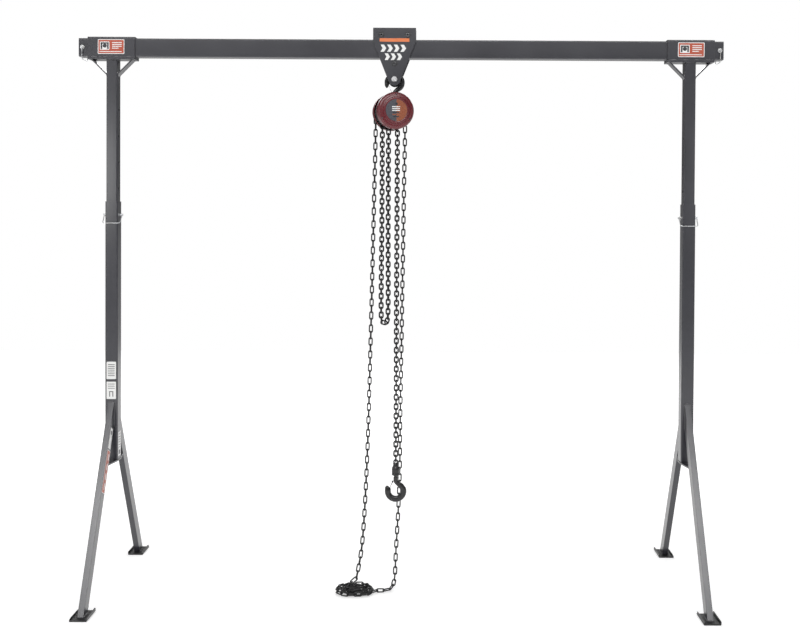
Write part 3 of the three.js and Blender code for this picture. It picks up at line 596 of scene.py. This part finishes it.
def make_slack_loop():
    """The load chain's slack side, which hangs in a loop and comes back up to its anchor."""
    middle = (SLACK_TOP + ANCHOR_END) / 2
    across = (ANCHOR_END - SLACK_TOP) / 2
    across.z = 0
    turn = []
    for i in range(7):
        angle = math.pi * i / 6
        point = middle - across * math.cos(angle)
        point.z = LOOP_BOTTOM_Z * MM - across.length * math.sin(angle)
        turn.append(point)
    halfway = (LOOP_BOTTOM_Z + STRAND_TOP_Z) / 2 * MM
    first = Vector((SLACK_TOP.x, SLACK_TOP.y, halfway))
    second = Vector((ANCHOR_END.x, ANCHOR_END.y, halfway))
    line = smooth_path([SLACK_TOP, first, *turn, second, ANCHOR_END], 16)
    mesh, joints = chain_along(line, LOAD_CHAIN, 0.16)
    obj = chain_piece("load_chain_slack", mesh, "load_chain_slack_loop")


def round_hoist(radius, y, start, sweep, steps):
    """Points on an arc about the hoist's axis, in mm and radians."""
    angles = [start + sweep * i / steps for i in range(steps + 1)]
    return [from_hoist(radius * math.cos(a), y, radius * math.sin(a)) for a in angles]


def make_wraps():
    """The chain that lies over the load sheave and over the hand wheel."""
    over = [from_hoist(17.4, -2, -24), from_hoist(17.25, -2, -8)]
    over += round_hoist(17.25, -2, 0, math.pi, 24)
    over += [from_hoist(-17.25, -2, -8), from_hoist(-17.1, -2, -24)]
    chain_piece("load_chain_over_sheave", chain_along(over, LOAD_CHAIN, 0.08)[0])
    over = round_hoist(57.5, 44, -0.14, math.pi + 0.28, 32)
    chain_piece("hand_chain_over_wheel", chain_along(over, HAND_CHAIN, 0.12)[0])


make_hand_chain()
make_strand()
make_slack_loop()
make_wraps()


# ---- hooks and hook block ----

LATCH_HINGE = Vector((-11.9, 0, 36)) * MM
LATCH_TIP = Vector((-21.2, 0, 13.5)) * MM
TOP_NUT_Z, TOP_NUT_HIGH = 66.4, 7  # over the top hook's bowl centre


def hook_edges(inner, outer, curl):
    """Pairs of points on the hook's inner and outer edge, from the neck to the point, in mm."""
    edges = [
        ((-8.5, 52), (8.5, 52)), ((-8.5, 46), (8.6, 46)), ((-8.3, 39.5), (9.8, 41)),
        ((-6.2, 33), (13.5, 36.2)), ((-1.5, 27), (20.5, 32.5)), ((4.0, 21.5), (28, 27)),
        ((9.8, 16.4), (33.6, 20)), ((inner * 0.81, 10.8), (outer * 0.962, 10.5)),
    ]
    for step in range(10):
        bearing = math.radians(-5 - 20.5 * step)
        c, s = math.cos(bearing), math.sin(bearing)
        edges.append(((inner * c, inner * s), (outer * c, outer * s)))
    return edges + [
        ((-inner * 0.97, 5.6), (-outer * 0.98, 8.4)),
        ((-inner * 1.08, 11), (-outer * 0.95 - curl * 0.4, 13.2)),
        ((-24.4 - curl * 0.4, 16.6), (-34.4 - curl, 17.6)),
        ((-26.8 - curl, 19.6), (-32.0 - curl, 20.4)),
    ]


def hook_body(inner, outer, thickness, curl):
    """A forged hook: oval sections between its inner and outer edges, thinner at the point."""
    edges = hook_edges(inner, outer, curl)
    inside = smooth_path([(x, 0, z) for (x, z), _ in edges], 4)
    outside = smooth_path([(x, 0, z) for _, (x, z) in edges], 4)
    around, points = 24, []
    last = len(inside) - 1
    for i, (a, b) in enumerate(zip(inside, outside)):
        share = i / last
        thick = thickness / 2 * (1 - 0.45 * max(0.0, (share - 0.62) / 0.38) ** 1.6)
        thick *= math.sqrt(max(0.25, 1 - max(0.0, (share - 0.9) / 0.1) ** 2))
        centre, half = (a + b) / 2, (b - a) / 2
        for k in range(around):
            u, v = superellipse(TAU * k / around, 2.5)
            points.append((centre + half * u + Vector((0, thick * v, 0))) * MM)
    faces = ring_faces(last + 1, around)
    faces.append(tuple(reversed(range(around))))
    tip, start = len(points), last * around
    points.append(Vector((-29.6 - curl, 0, 21.6)) * MM)
    for k in range(around):
        faces.append((start + k, start + (k + 1) % around, tip))
    return points, faces


def hook_shank(top):
    """The round shank over the neck, and its collar, up to a height in mm."""
    profile = [(0, 45), (8.4, 47), (8.6, 51), (8.2, 53), (7.1, 55), (7, 56), (7, top - 1)]
    return lathe([*profile, (6, top), (0, top)], 40, "Z")


def hex_nut(radius, low, high):
    """A hexagon about Z with turned corners, all in mm."""
    points = []
    for share, z in ((0.90, low), (1.0, low + 0.7), (1.0, high - 0.7), (0.90, high)):
        points.extend([Vector((x, y, z)) * MM for x, y in circle(radius * share, 6)])
    return points, ring_faces(4, 6) + end_faces(4, 6)


def latch_blade(width):
    """A sprung latch: a cupped, slightly bowed strip from its barrel to its end inside the point.
    """
    along = LATCH_TIP - LATCH_HINGE
    direction = along.normalized()
    normal = Vector((direction.z, 0, -direction.x))
    points, faces, across, stations = [], [], 10, 14
    for layer in (1, -1):
        for i in range(stations + 1):
            share = i / stations
            half = width / 2 * MM * (1 - 0.18 * share)
            bow = 0.7 * MM * math.sin(math.pi * share)
            centre = LATCH_HINGE + along * share
            for k in range(across + 1):
                side = 2 * k / across - 1
                cup = 0.9 * MM * side * side * (1 - 0.5 * share)
                offset = normal * (bow - cup + layer * 0.6 * MM)
                points.append(centre + offset + Vector((0, half * side, 0)))
    row = across + 1
    size = row * (stations + 1)
    for i in range(stations):
        for k in range(across):
            a = i * row + k
            b = a + size
            faces.append((a, a + 1, a + row + 1, a + row))
            faces.append((b, b + row, b + row + 1, b + 1))
    rim = list(range(row))
    rim += [i * row + across for i in range(1, stations + 1)]
    rim += [stations * row + k for k in range(across - 1, -1, -1)]
    rim += [i * row for i in range(stations - 1, 0, -1)]
    for a, b in zip(rim, rim[1:] + rim[:1]):
        faces.append((a, a + size, b + size, b))
    half = width / 2
    barrel = [(0, -half), (2.2, -half), (2.9, 0.6 - half), (2.9, half - 0.6), (2.2, half)]
    barrel = lathe([*barrel, (0, half)], 28)
    return merged([(points, faces), moved(barrel, Matrix.Translation(LATCH_HINGE))])


def make_hooks():
    upper = shift(TROLLEY_X, 0, TOP_BOWL_Z) @ turned(180, "X")
    lower = Matrix.Translation((STRAND.x, STRAND.y, BOTTOM_BOWL_Z * MM))
    blade = latch_blade(12)
    nut = hex_nut(11, TOP_NUT_Z, TOP_NUT_Z + TOP_NUT_HIGH)
    top = merged([hook_body(20, 38.5, 16, 0), hook_shank(TOP_NUT_Z + 9), nut])
    bottom = merged([hook_body(18.6, 41.5, 19, 3.5), hook_shank(83)])
    for name, mesh, at, body, slot, material, node in (
        ("top_hook_forging", top, upper, "upper_hook", "hook_black", "hook", "top_hook"),
        ("top_latch", blade, upper, "upper_latch", "zinc_pin", "zinc", "top_hook_latch"),
        ("bottom_hook_forging", bottom, lower, "lower_hook", "hook_black", "hook", "bottom_hook"),
        ("bottom_latch", blade, lower, "lower_latch", "hook_black", "plate", "bottom_hook_latch"),
    ):
        piece(name, moved(mesh, at), body, slot, material, node, sharp=50)


def make_hook_block():
    """Two forged halves round the hook's shank, with the chain's pin through them."""
    profile = [(7.6, 417), (7.6, 413.6), (13.2, 413), (14.6, 414), (15, 416.5), (15, 421)]
    profile += [(14.4, 422), (14.4, 424), (15, 425), (15, 437), (14.2, 441), (11.8, 446)]
    profile += [(10.0, 451), (9.2, 456), (8.2, 459.2), (6.5, 460), (0, 460)]
    pin = [(0, -14.8), (3.2, -14.8), (4, -14), (4, 14), (3.2, 14.8), (0, 14.8)]
    pin = moved(lathe(pin, 28), shift(0, 0, BLOCK_PIN_Z))
    at = Matrix.Translation((STRAND.x, STRAND.y, 0))
    halves = moved(merged([lathe(profile, 56, "Z"), pin]), at)
    piece("hook_block_halves", halves, "hook_block_body", "hook_black", "hook",
          "hook_block", sharp=40)
    seam = [(14.55, 414), (14.55, 420), (14.55, 428), (14.55, 436), (13.85, 441)]
    seam += [(11.45, 446), (9.65, 451), (8.85, 456)]
    seams = []
    for side in (1, -1):
        line = [Vector((side * x, 0, z)) * MM for x, z in seam]
        seams.append(tube(line, 0.55 * MM, 8))
    piece("hook_block_seams", moved(merged(seams), at), "hook_block_body", "hook_black", "bolt")


make_hooks()
make_hook_block()


# ---- hoist covers ----


def cover_profile(rim, shoulder, boss):
    """A pressed cover, out and back again, as (radius, y) in mm: rolled rim, raised middle."""
    out = 1 if boss > rim else -1

    def over(base, *spots):
        return [(radius, base + out * height) for radius, height in spots]

    bends = [math.radians(90 * i / 8) for i in range(9)]
    lip = over(rim, (68.3, 0), (69.6, 0), (70, 0.5), (70, 3), (69.4, 3.8), (69.4, 5.2), (70, 6))
    edge = over(shoulder, *[(59 + 11 * math.cos(a), 11 * math.sin(a) - 11) for a in bends])
    step = over(shoulder, (52.4, 0), (51.2, 0.5), (50.4, 2))
    step += over(boss, (49.9, -1), (49.2, 0.4), (48, 0.95), (43.4, 0.95), (42.5, 0.6))
    step += over(boss, (42.1, 0), (0, 0))
    back = over(shoulder, (0, -2.5), (57, -2.6), (63.5, -5), (66.6, -9.5), (67.5, -14))
    return lip + edge + step + back + over(rim, (67.5, 4), (67.5, 0.8), (68.3, 0))


def cut_slot(obj, low, high):
    """A window in the rear cover's rim, from x = low to high, where the hand chain comes out."""
    outline = [(low, -62), (high, -62), (high, -8), (low, -8)]
    cutter = mesh_object("slot", moved(prism(outline, 33, 55), HOIST_FRAME))
    modify(obj, "BOOLEAN", operation="DIFFERENCE", solver="EXACT", object=cutter)
    return cutter


def make_covers():
    covers = (
        ("front_cover", "gear_cover", (-27, -60, -65)),
        ("rear_cover", "hand_wheel_cover", (24, 60, 65)),
    )
    for name, node, depths in covers:
        mesh = moved(lathe(cover_profile(*depths), 128), HOIST_FRAME)
        obj = piece(name, mesh, "hoist_body", "hoist_red", "red", node, sharp=35)
    # The last of them, the rear cover, is cut for the hand chain.
    cutters = [cut_slot(obj, 46.5, 80), cut_slot(obj, -80, -46.5)]
    graph = bpy.context.evaluated_depsgraph_get()
    mesh = bpy.data.meshes.new_from_object(obj.evaluated_get(graph))
    obj.modifiers.clear()
    obj.data = mesh
    for cutter in cutters:
        bpy.data.objects.remove(cutter)


make_covers()


# ---- pins, bolts and rollers ----

EYE, BEND, BAIL_WIRE = 33, 7, 1.5  # the bails' eyes along the pin, their corners, their wire
BOLT_FACE = 34.3  # from the trolley's middle to the outside of its cheek plates, in mm


def pin_mesh(half_width):
    """A turned lock pin along X with its flanged head at +X, in mm."""
    start = half_width + 0.6
    profile = [(0, -37), (3.4, -37), (5, -35.2), (5, -34.4), (4.4, -34), (4.4, -32)]
    profile += [(5, -31.6), (5, start), (7.9, start), (8.5, start + 0.6), (8.5, start + 3.4)]
    profile += [(7.9, start + 4), (5, start + 4), (5, 36.2), (4.2, 37), (0, 37)]
    return lathe(profile, 40, "X")


def bail_mesh(reach):
    """The wire bail: both ends curl through the shank, and it crosses below."""
    limb = [(EYE - 1.2, 2.6), (EYE + 1.4, -1.5), (EYE + 0.9, -8)]
    limb += [(EYE, -(reach - BEND) * 0.6), (EYE, BEND - reach)]
    limb += [(EYE - BEND + x, BEND - reach - z) for x, z in circle(BEND, 24)[1:7]]
    path = [Vector((x, 0, z)) * MM for x, z in limb + [(-x, z) for x, z in limb[::-1]]]
    return tube(smooth_path(path, 3), BAIL_WIRE * MM, 10)


def make_pins():
    tilt = Matrix.Rotation(-math.atan2(27.2, 31), 4, "X")
    meshes = {"post": merged([pin_mesh(24), bail_mesh(41.2)])}
    meshes["beam"] = merged([pin_mesh(25), bail_mesh(45)])
    for side, label in SIDES:
        mirror = Matrix.Diagonal((side, 1, 1, 1))
        places = {"post": shift(side * POST_X, 0, POST_PIN_Z) @ tilt @ mirror}
        places["beam"] = shift(side * BEAM_PIN_X, 0, BEAM_PIN_Z) @ turned(-90, "Z")
        for part, at in places.items():
            name = f"{label}_{part}"
            piece(f"{name}_lock_pin", moved(meshes[part], at), f"{name}_lock", "zinc_pin",
                  "zinc", f"{name}_pin", sharp=40)


def bolt_mesh():
    """A shouldered socket bolt along Y: domed head in front, washer and nut behind, in mm."""
    front = [(0, -3), (3, -3), (3.2, 4.6), (5.4, 5), (6.6, 4.4), (7.8, 4), (8.4, 3), (8.4, 0.9)]
    rear = [(6, 0), (10.4, 0), (10.4, 1.2), (6, 1.2), (6, 10.4), (5.2, 11), (0, 11)]
    profile = [(r, -BOLT_FACE - y) for r, y in (*front, (6, 0.9))]
    profile += [(r, BOLT_FACE + y) for r, y in rear]
    nut = hex_nut(9.4, BOLT_FACE + 1.3, BOLT_FACE + 7.9)
    return merged([lathe(profile, 48), moved(nut, turned(-90, "X"))])


def make_bolts():
    spacer = [(6.2, -27.6), (9.3, -27.6), (10, -27), (10, 27), (9.3, 27.6), (6.2, 27.6)]
    near, far = -BOLT_FACE - 0.9, -BOLT_FACE
    ring = [(6.1, far), (11.3, far), (11.6, far - 0.3), (11.6, near + 0.3), (11.3, near)]
    washer = lathe([*ring, (6.1, near)], 40, closed=True)
    washers = []
    for name, x, z in (
        ("left_roller_bolt", -ROLLER_X, ROLLER_Z),
        ("right_roller_bolt", ROLLER_X, ROLLER_Z),
        ("keeper_bolt", 0, KEEPER_Z),
    ):
        at = shift(TROLLEY_X + x, 0, z)
        parts = [bolt_mesh()]
        if name == "keeper_bolt":
            parts.append(lathe(spacer, 40, closed=True))
        piece(f"{name}_set", moved(merged(parts), at), "trolley", "bolt_black", "bolt",
              name, sharp=38)
        washers.append(moved(washer, at))
    piece("trolley_washers", merged(washers), "trolley", "bolt_black", "plate", sharp=38)


def make_rollers():
    profile = [(6.4, -27.6), (18.8, -27.6), (20, -27), (20, -26.0), (19.2, -25.6)]
    profile += [(15.7, -25.2), (15.4, -24), (15.4, 24), (15.7, 25.2), (19.2, 25.6), (20, 26)]
    roller = lathe([*profile, (20, 27), (18.8, 27.6), (6.4, 27.6)], 64, closed=True)
    for side, label in SIDES:
        at = shift(TROLLEY_X + side * ROLLER_X, 0, ROLLER_Z)
        piece(f"{label}_flanged_roller", moved(roller, at), f"{label}_roller_wheel",
              "roller_steel", "steel", f"{label}_roller", sharp=35)


def make_load_pin():
    """The pin that the top hook hangs on, with a clip in the groove at each end."""
    half = [(10.5, -34.3), (9.6, -34.5), (9.6, -35.4), (10.5, -35.6), (10.5, -36.8), (9.2, -38)]
    profile = [(0, -38), *half[::-1], *[(r, -y) for r, y in half], (0, 38)]
    clip = lathe([(9.7, -0.45), (12.2, -0.45), (12.2, 0.45), (9.7, 0.45)], 56, closed=True)
    clips = merged([moved(clip, shift(0, y, 0)) for y in (-35, 35)])
    at = shift(TROLLEY_X, 0, LOAD_PIN_Z)
    bar = moved(lathe(profile, 56), at)
    piece("load_pin_bar", bar, "trolley", "zinc_pin", "bright", "load_pin", sharp=35)
    piece("load_pin_clips", moved(clips, at), "trolley", "bolt_black", "bolt", sharp=35)


make_pins()
make_bolts()
make_rollers()
make_load_pin()


# ---- welds ----


def bead(start, end, radius):
    """A rippled weld between two points in mm: a row of overlapping puddles."""
    start, end = Vector(start) * MM, Vector(end) * MM
    count = max(6, int((end - start).length / (1.1 * MM)))
    line = [start.lerp(end, i / count) for i in range(count + 1)]

    def swell(i):
        puddle = 0.86 + 0.14 * abs(math.sin(i * math.pi / 3.2))
        taper = min(1.0, 0.35 + 0.65 * min(i, count - i) / 3)
        return radius * MM * puddle * taper * (1 + 0.05 * math.sin(i * 1.9))

    return tube(line, swell, 10)


def mast_welds():
    """Sleeve to its plate, plate to mast, and both ends of the braces, about the post's axis."""
    parts = []
    for y in (-29.55, 29.55):
        for x in (-66, -22, 22, 66):
            parts.append(bead((x - 9.24, y, 2001.6), (x + 9.24, y, 2001.6), 2.1))
    for y in (-21.4, 21.4):
        parts.append(bead((-20, y, 1991.2), (20, y, 1991.2), 2.4))
    for way in (-1, 1):
        for y in (-18.6, 18.6):
            parts.append(bead((way * 72, y, 1991.3), (way * 79, y, 1991.3), 1.8))
        parts.append(bead((way * 79.6, -17, 1991), (way * 79.6, 17, 1991), 2.0))
        parts.append(bead((way * 21.6, -17, 1933), (way * 21.6, 17, 1933), 2.2))
    return merged(parts)


def stand_welds():
    """Legs to post, legs to tie plate, legs to feet, post to tie plate, about the post's axis."""
    parts = []
    for way in (-1, 1):
        face, toe = way * 24.3, way * 374.6
        parts.append(bead((-10, face, 697), (10, face, 697), 2.6))
        for x in (-11, 11):
            parts.append(bead((x, face, 602), (x, face, 694), 2.0))
        parts.append(bead((-10, way * 92, 471.6), (10, way * 92, 471.6), 2.4))
        parts.append(bead((-10.5, toe, 5.8), (10.5, toe, 5.8), 2.8))
        for x in (-11.4, 11.4):
            parts.append(bead((x, way * 328, 5.6), (x, way * 372, 5.6), 2.2))
    for x in (-24.3, 24.3):
        parts.append(bead((x, -22, 472.2), (x, 22, 472.2), 2.3))
    return merged(parts)


def make_welds():
    for side, label in SIDES:
        at = shift(side * POST_X, 0, 0)
        for part, mesh in (("mast", mast_welds()), ("stand", stand_welds())):
            piece(f"{label}_{part}_welds", moved(mesh, at), f"{label}_{part}",
                  "frame_charcoal", "weld")


make_welds()


# ---- labels and generic marks ----

LAYER = 0.12  # how far each printed layer stands over the one below, in mm
LEG_SLOPE = 26.9  # degrees between a leg and the upright


def bar_shape(cx, cy, width, height, corner=None):
    """A bar or panel with rounded corners as an anticlockwise outline in mm."""
    corner = min(width, height) * 0.18 if corner is None else corner
    corner = max(corner, 0.05)
    half_x, half_y = width / 2 - corner, height / 2 - corner
    found = []
    for k, (sx, sy) in enumerate(((1, 1), (-1, 1), (-1, -1), (1, -1))):
        for i in range(6):
            angle = math.pi / 2 * (k + i / 5)
            x = cx + sx * half_x + corner * math.cos(angle)
            found.append((x, cy + sy * half_y + corner * math.sin(angle)))
    return found


def column(width, height, places, x=0, corner=None):
    """Bars above one another, at the given heights."""
    return [bar_shape(x, z, width, height, corner) for z in places]


def disc_shape(cx, cy, radius, start=0, end=360, steps=48):
    """A disc, or the part of one between two bearings in degrees."""
    angles = [math.radians(start + (end - start) * i / steps) for i in range(steps + 1)]
    if end - start >= 360:
        angles = angles[:-1]
    return [(cx + radius * math.cos(a), cy + radius * math.sin(a)) for a in angles]


def chevron_shape(cx, cy, size):
    """A plain arrow head pointing right."""
    h, w, tail = size / 2, size * 0.40, size * 0.08
    tip, back = [(cx + tail, cy - h), (cx + w, cy), (cx + tail, cy + h)], cx - w
    return [(back, cy - h), *tip, (back, cy + h), (back + w + tail - 5, cy)]


def label(name, layers, place, body, slot="frame_charcoal"):
    """Thin printed layers on a surface. A layer is (material, height in layers, outlines)."""
    for number, (material, level, outlines) in enumerate(layers):
        parts = [moved(prism(outline, -level * LAYER, 0.05), place) for outline in outlines]
        piece(f"{name}_{number + 1}", merged(parts), body, slot, material, sharp=30)


def facing(x, y, z, turn=0.0):
    """A place on a surface in mm. At turn 0 it faces the front, at 90 degrees it faces +X."""
    return shift(x, y, z) @ turned(turn, "Z")


def sleeve_panel(width, height):
    """A generic sleeve label: white edge, orange field, a small figure and a few lines."""

    def bar(x, y, wide, high, corner=None):
        return bar_shape(width * x, height * y, width * wide, height * high, corner)

    lines = [bar(0.22, y, 0.36, 0.055) for y in (0.28, 0.15, 0.02)]
    lines += [bar(0.16, -0.11, 0.24, 0.055), bar(-0.02, -0.34, 0.84, 0.05)]
    figure = [
        bar(-0.24, 0.24, 0.30, 0.09),
        bar(-0.36, 0.03, 0.06, 0.40),
        bar(-0.12, 0.03, 0.06, 0.40),
        disc_shape(width * -0.24, height * 0.06, height * 0.14),
    ]
    return [
        ("white", 1, [bar_shape(0, 0, width, height, 3)]),
        ("orange", 2, [bar_shape(0, 0, width - 5, height - 5, 2)]),
        ("white", 3, [bar(-0.24, 0.06, 0.36, 0.56, 2), *lines]),
        ("ink", 4, figure),
    ]


def make_sleeve_labels():
    for side, name in SIDES:
        place = facing(side * POST_X, -SLEEVE_FACE, 2039)
        label(f"{name}_sleeve_label", sleeve_panel(100, 55), place, f"{name}_mast")


def make_trolley_marks():
    """An orange bar over two rows of plain arrow marks."""
    bar = [("amber", 1, [bar_shape(0, 0, 112, 13, 2)])]
    label("trolley_bar", bar, facing(TROLLEY_X, -CHEEK_FACE, 2069), "trolley")
    upper = [chevron_shape(x, 8, 27) for x in (-42, -17, 8, 33)]
    lower = [chevron_shape(x, -24, 25) for x in (-27, -4, 19)]
    marks = [("white", 1, upper + lower)]
    label("trolley_marks", marks, facing(TROLLEY_X, -CHEEK_FACE, 2030), "trolley")


def make_hoist_disc():
    """A two-tone disc with plain bars on the hoist's front cover."""
    disc = [
        ("grey", 1, [disc_shape(0, 0, 41.4)]),
        ("rust", 2, [disc_shape(0, 0, 41.0, -90, 90)]),
        ("white", 3, column(30, 3.4, (13, 6, -1), -2)),
        ("ink", 3, [bar_shape(-2, -9, 26, 4), bar_shape(0, 24, 8, 8), bar_shape(-1, -24, 22, 5)]),
        ("rust", 3, [bar_shape(-9, -16, 14, 4)]),
    ]
    label("hoist_disc", disc, HOIST_FRAME @ shift(0, -COVER_FACE, 0), "hoist_body", "hoist_red")


def make_stand_labels():
    """The left stand's plates: two on its post's front, one on its side, two on its front leg."""
    front = [
        ("white", 1, column(36, 66, (38, -38), 0, 2)),
        ("ink", 2, column(26, 2.4, (60, 53, 46, 39, 32, 25, 18))),
        ("grey", 2, column(26, 2.2, (-14, -22, -30))),
        ("ink", 2, [bar_shape(-6, -52, 3, 20), bar_shape(6, -52, 3, 20), bar_shape(0, -43, 16, 3)]),
    ]
    paper = [("white", 1, [bar_shape(0, 0, 26, 78, 1)]), ("grey", 2, [bar_shape(0, 22, 16, 14)])]
    warm = [
        ("white", 1, [bar_shape(0, 0, 34, 158, 1.5)]),
        ("orange", 2, [bar_shape(0, 0, 30, 154, 1)]),
        ("white", 3, column(8, 24, (-54, -18, 18, 54), 4, 1)),
        ("ink", 3, column(3, 26, (-36, 0, 36), -7, 1)),
    ]
    inner = [
        ("white", 1, [bar_shape(0, 0, 30, 92, 2)]),
        ("ink", 2, column(20, 2.4, (36, 26, 16, 6, -4, -14))),
        ("grey", 2, [bar_shape(0, -32, 20, 16, 1)]),
    ]
    label("left_post_plate", front, facing(-POST_X, -POST_FACE, 775), "left_stand")
    slope = turned(LEG_SLOPE, "Y")
    upper_leg = facing(LEG_FACE - POST_X, -67, 563, 90) @ slope
    lower_leg = facing(LEG_FACE - POST_X, -123, 452, 90) @ slope
    label("left_leg_paper", paper, upper_leg, "left_stand")
    label("left_leg_panel", warm, lower_leg, "left_stand")
    label("left_post_side", inner, facing(POST_FACE - POST_X, 0, 530, 90), "left_stand")


make_sleeve_labels()
make_trolley_marks()
make_hoist_disc()
make_stand_labels()


# ---- small fasteners that the CAD leaves out ----


def cap_screw(radius, height):
    """A domed screw head with a round recess, standing on y = 0 and facing the front."""
    profile = [(0, -0.45), (0.45, -0.45), (0.5, -1), (0.8, -0.95), (1, -0.5), (1, 0), (0, 0)]
    return lathe([(r * radius, y * height) for r, y in profile], 28)


def on_hoist(mesh, bearing, radius, y):
    """Moves a mesh to a bearing in degrees and a radius about the hoist's axis, in mm."""
    angle = math.radians(bearing)
    place = shift(radius * math.cos(angle), y, radius * math.sin(angle))
    return moved(mesh, HOIST_FRAME @ place)


def make_fasteners():
    screws = [on_hoist(cap_screw(3.4, 2.6), bearing, 60.5, -58.6) for bearing in (90, 210, 330)]
    piece("cover_screws", merged(screws), "hoist_body", "bolt_black", "bolt", sharp=40)
    bar = lathe([(0, -20.6), (4.5, -20.6), (4.5, 16.6), (0, 16.6)], 24)
    stays = [on_hoist(bar, bearing, 53, 0) for bearing in (-32, 32, 148, 212)]
    piece("side_plate_stays", merged(stays), "hoist_body", "hoist_black", "bolt", sharp=40)
    for side, name in SIDES:
        mesh = moved(cap_screw(3.6, 2.8), shift(side * POST_X + 16.5, -POST_FACE, 600))
        piece(f"{name}_post_screw", mesh, f"{name}_stand", "bolt_black", "bolt", sharp=40)


make_fasteners()


# ---- CAD parts that stay: paint and edges ----

# The material of each slot that is still shown, and how far its edges are rounded, in mm.
CAD_FINISH = {
    "frame_charcoal": ("charcoal", 0.9),
    "foot_black": ("foot", 0.6),
    "hoist_black": ("plate", 0.5),
    "gear_steel": ("steel", 0.25),
}


def finish_cad_parts():
    """Materials by slot, merged corners and small round edges, as plate and tube have."""
    slots = {entry["node"]: entry["material_slot"] for entry in frame["record"]["subparts"]}
    for name, obj in frame["nodes"].items():
        if obj.hide_render:
            continue
        material, width = CAD_FINISH[slots[name]]
        mesh = obj.data
        dress(mesh, material)
        if "custom_normal" in mesh.attributes:
            mesh.attributes.remove(mesh.attributes["custom_normal"])
        corner = math.radians(38)
        modify(obj, "WELD", merge_threshold=0.02 * MM)
        modify(obj, "BEVEL", width=width * MM, segments=2, limit_method="ANGLE", angle_limit=corner)
        modify(obj, "WEIGHTED_NORMAL", keep_sharp=True)


finish_cad_parts()


# ---- floor, light and world ----

FLOOR_HALF = 6.5
FLOOR_Z = -0.0005
FLOOR_GLOW = (0.42, 0.85)  # near the crane, and from 4 m away

# Name, place, what it points at, width, height and power.
SOFTBOXES = [
    ("front_softbox", (-0.2, -8, 6.1), (0, 0, 0.9), 10.0, 2.2, 600),
    ("left_card", (-3.1, -5, 1.75), (-1.1, 0, 1.55), 1.3, 0.8, 22),
    ("right_card", (3.1, -5, 1.75), (1.1, 0, 1.5), 1.3, 0.9, 8),
    ("overhead", (0, 0.3, 4.6), (0, 0, 0), 6.0, 2.6, 60),
    ("left_fill", (-5, -1.0, 2.2), (0, 0, 1.0), 1.6, 2.4, 30),
    ("right_fill", (5, -1.0, 2.2), (0, 0, 1.0), 1.6, 2.4, 22),
    ("back_softbox", (0, 5, 4.0), (0, 0, 0.9), 7.0, 1.4, 150),
]


def make_floor():
    """A white sweep that is lit a little more from within towards its edge."""
    f = Finish("studio_floor")
    cloud = f.noise(1.3, 3)
    f.set(Base_Color=f.mix(cloud, rgb(0.80, 0.80, 0.80), rgb(0.84, 0.84, 0.84)))
    f.set(Roughness=0.6, Specular_IOR_Level=0.1, Emission_Color=rgb(1, 1, 1))
    distance = f.add("ShaderNodeVectorMath", {0: f.place}, operation="LENGTH").outputs["Value"]
    f.set(Emission_Strength=f.spread(distance, 1.2, 4.0, *FLOOR_GLOW))
    ways = ((-1, -1), (1, -1), (1, 1), (-1, 1))
    corners = [(x * FLOOR_HALF, y * FLOOR_HALF, FLOOR_Z) for x, y in ways]
    floor = mesh_object("floor", (corners, [(0, 1, 2, 3)]))
    floor.data.materials.append(f.material)


def make_world():
    """White to the camera. What it lights is dim in front and brighter low down behind."""
    world = bpy.data.worlds.new("studio")
    bpy.context.scene.world = world
    world.use_nodes = True
    n = Nodes(world.node_tree)
    n.tree.nodes.clear()

    def background(strength):
        values = {"Color": rgb(1, 1, 1), "Strength": strength}
        return n.add("ShaderNodeBackground", values).outputs[0]

    direction = n.add("ShaderNodeTexCoord").outputs["Generated"]
    parts = n.add("ShaderNodeSeparateXYZ", {0: direction}).outputs
    low = n.spread(parts["Z"], 0.03, -0.05)
    behind = n.spread(parts["Y"], -0.3, 0.7)
    glow = n.math("MULTIPLY", n.math("MULTIPLY", low, behind), 0.3)
    room = n.spread(parts["Y"], -1, 1, 0.05, 0.10)
    soft = background(n.math("ADD", glow, room))
    seen = n.add("ShaderNodeLightPath").outputs["Is Camera Ray"]
    mix = n.add("ShaderNodeMixShader", {0: seen, 1: soft, 2: background(1.0)})
    n.add("ShaderNodeOutputWorld", {0: mix.outputs[0]})


def make_lights():
    for name, place, target, width, height, power in SOFTBOXES:
        data = bpy.data.lights.new(name, "AREA")
        configure(data, shape="RECTANGLE", size=width, size_y=height, energy=power)
        light = in_scene(name, data)
        light.location = place
        aim = Vector(target) - Vector(place)
        light.rotation_euler = aim.to_track_quat("-Z", "Y").to_euler()
    bpy.context.scene.view_settings.view_transform = "Standard"


make_floor()
make_world()
make_lights()
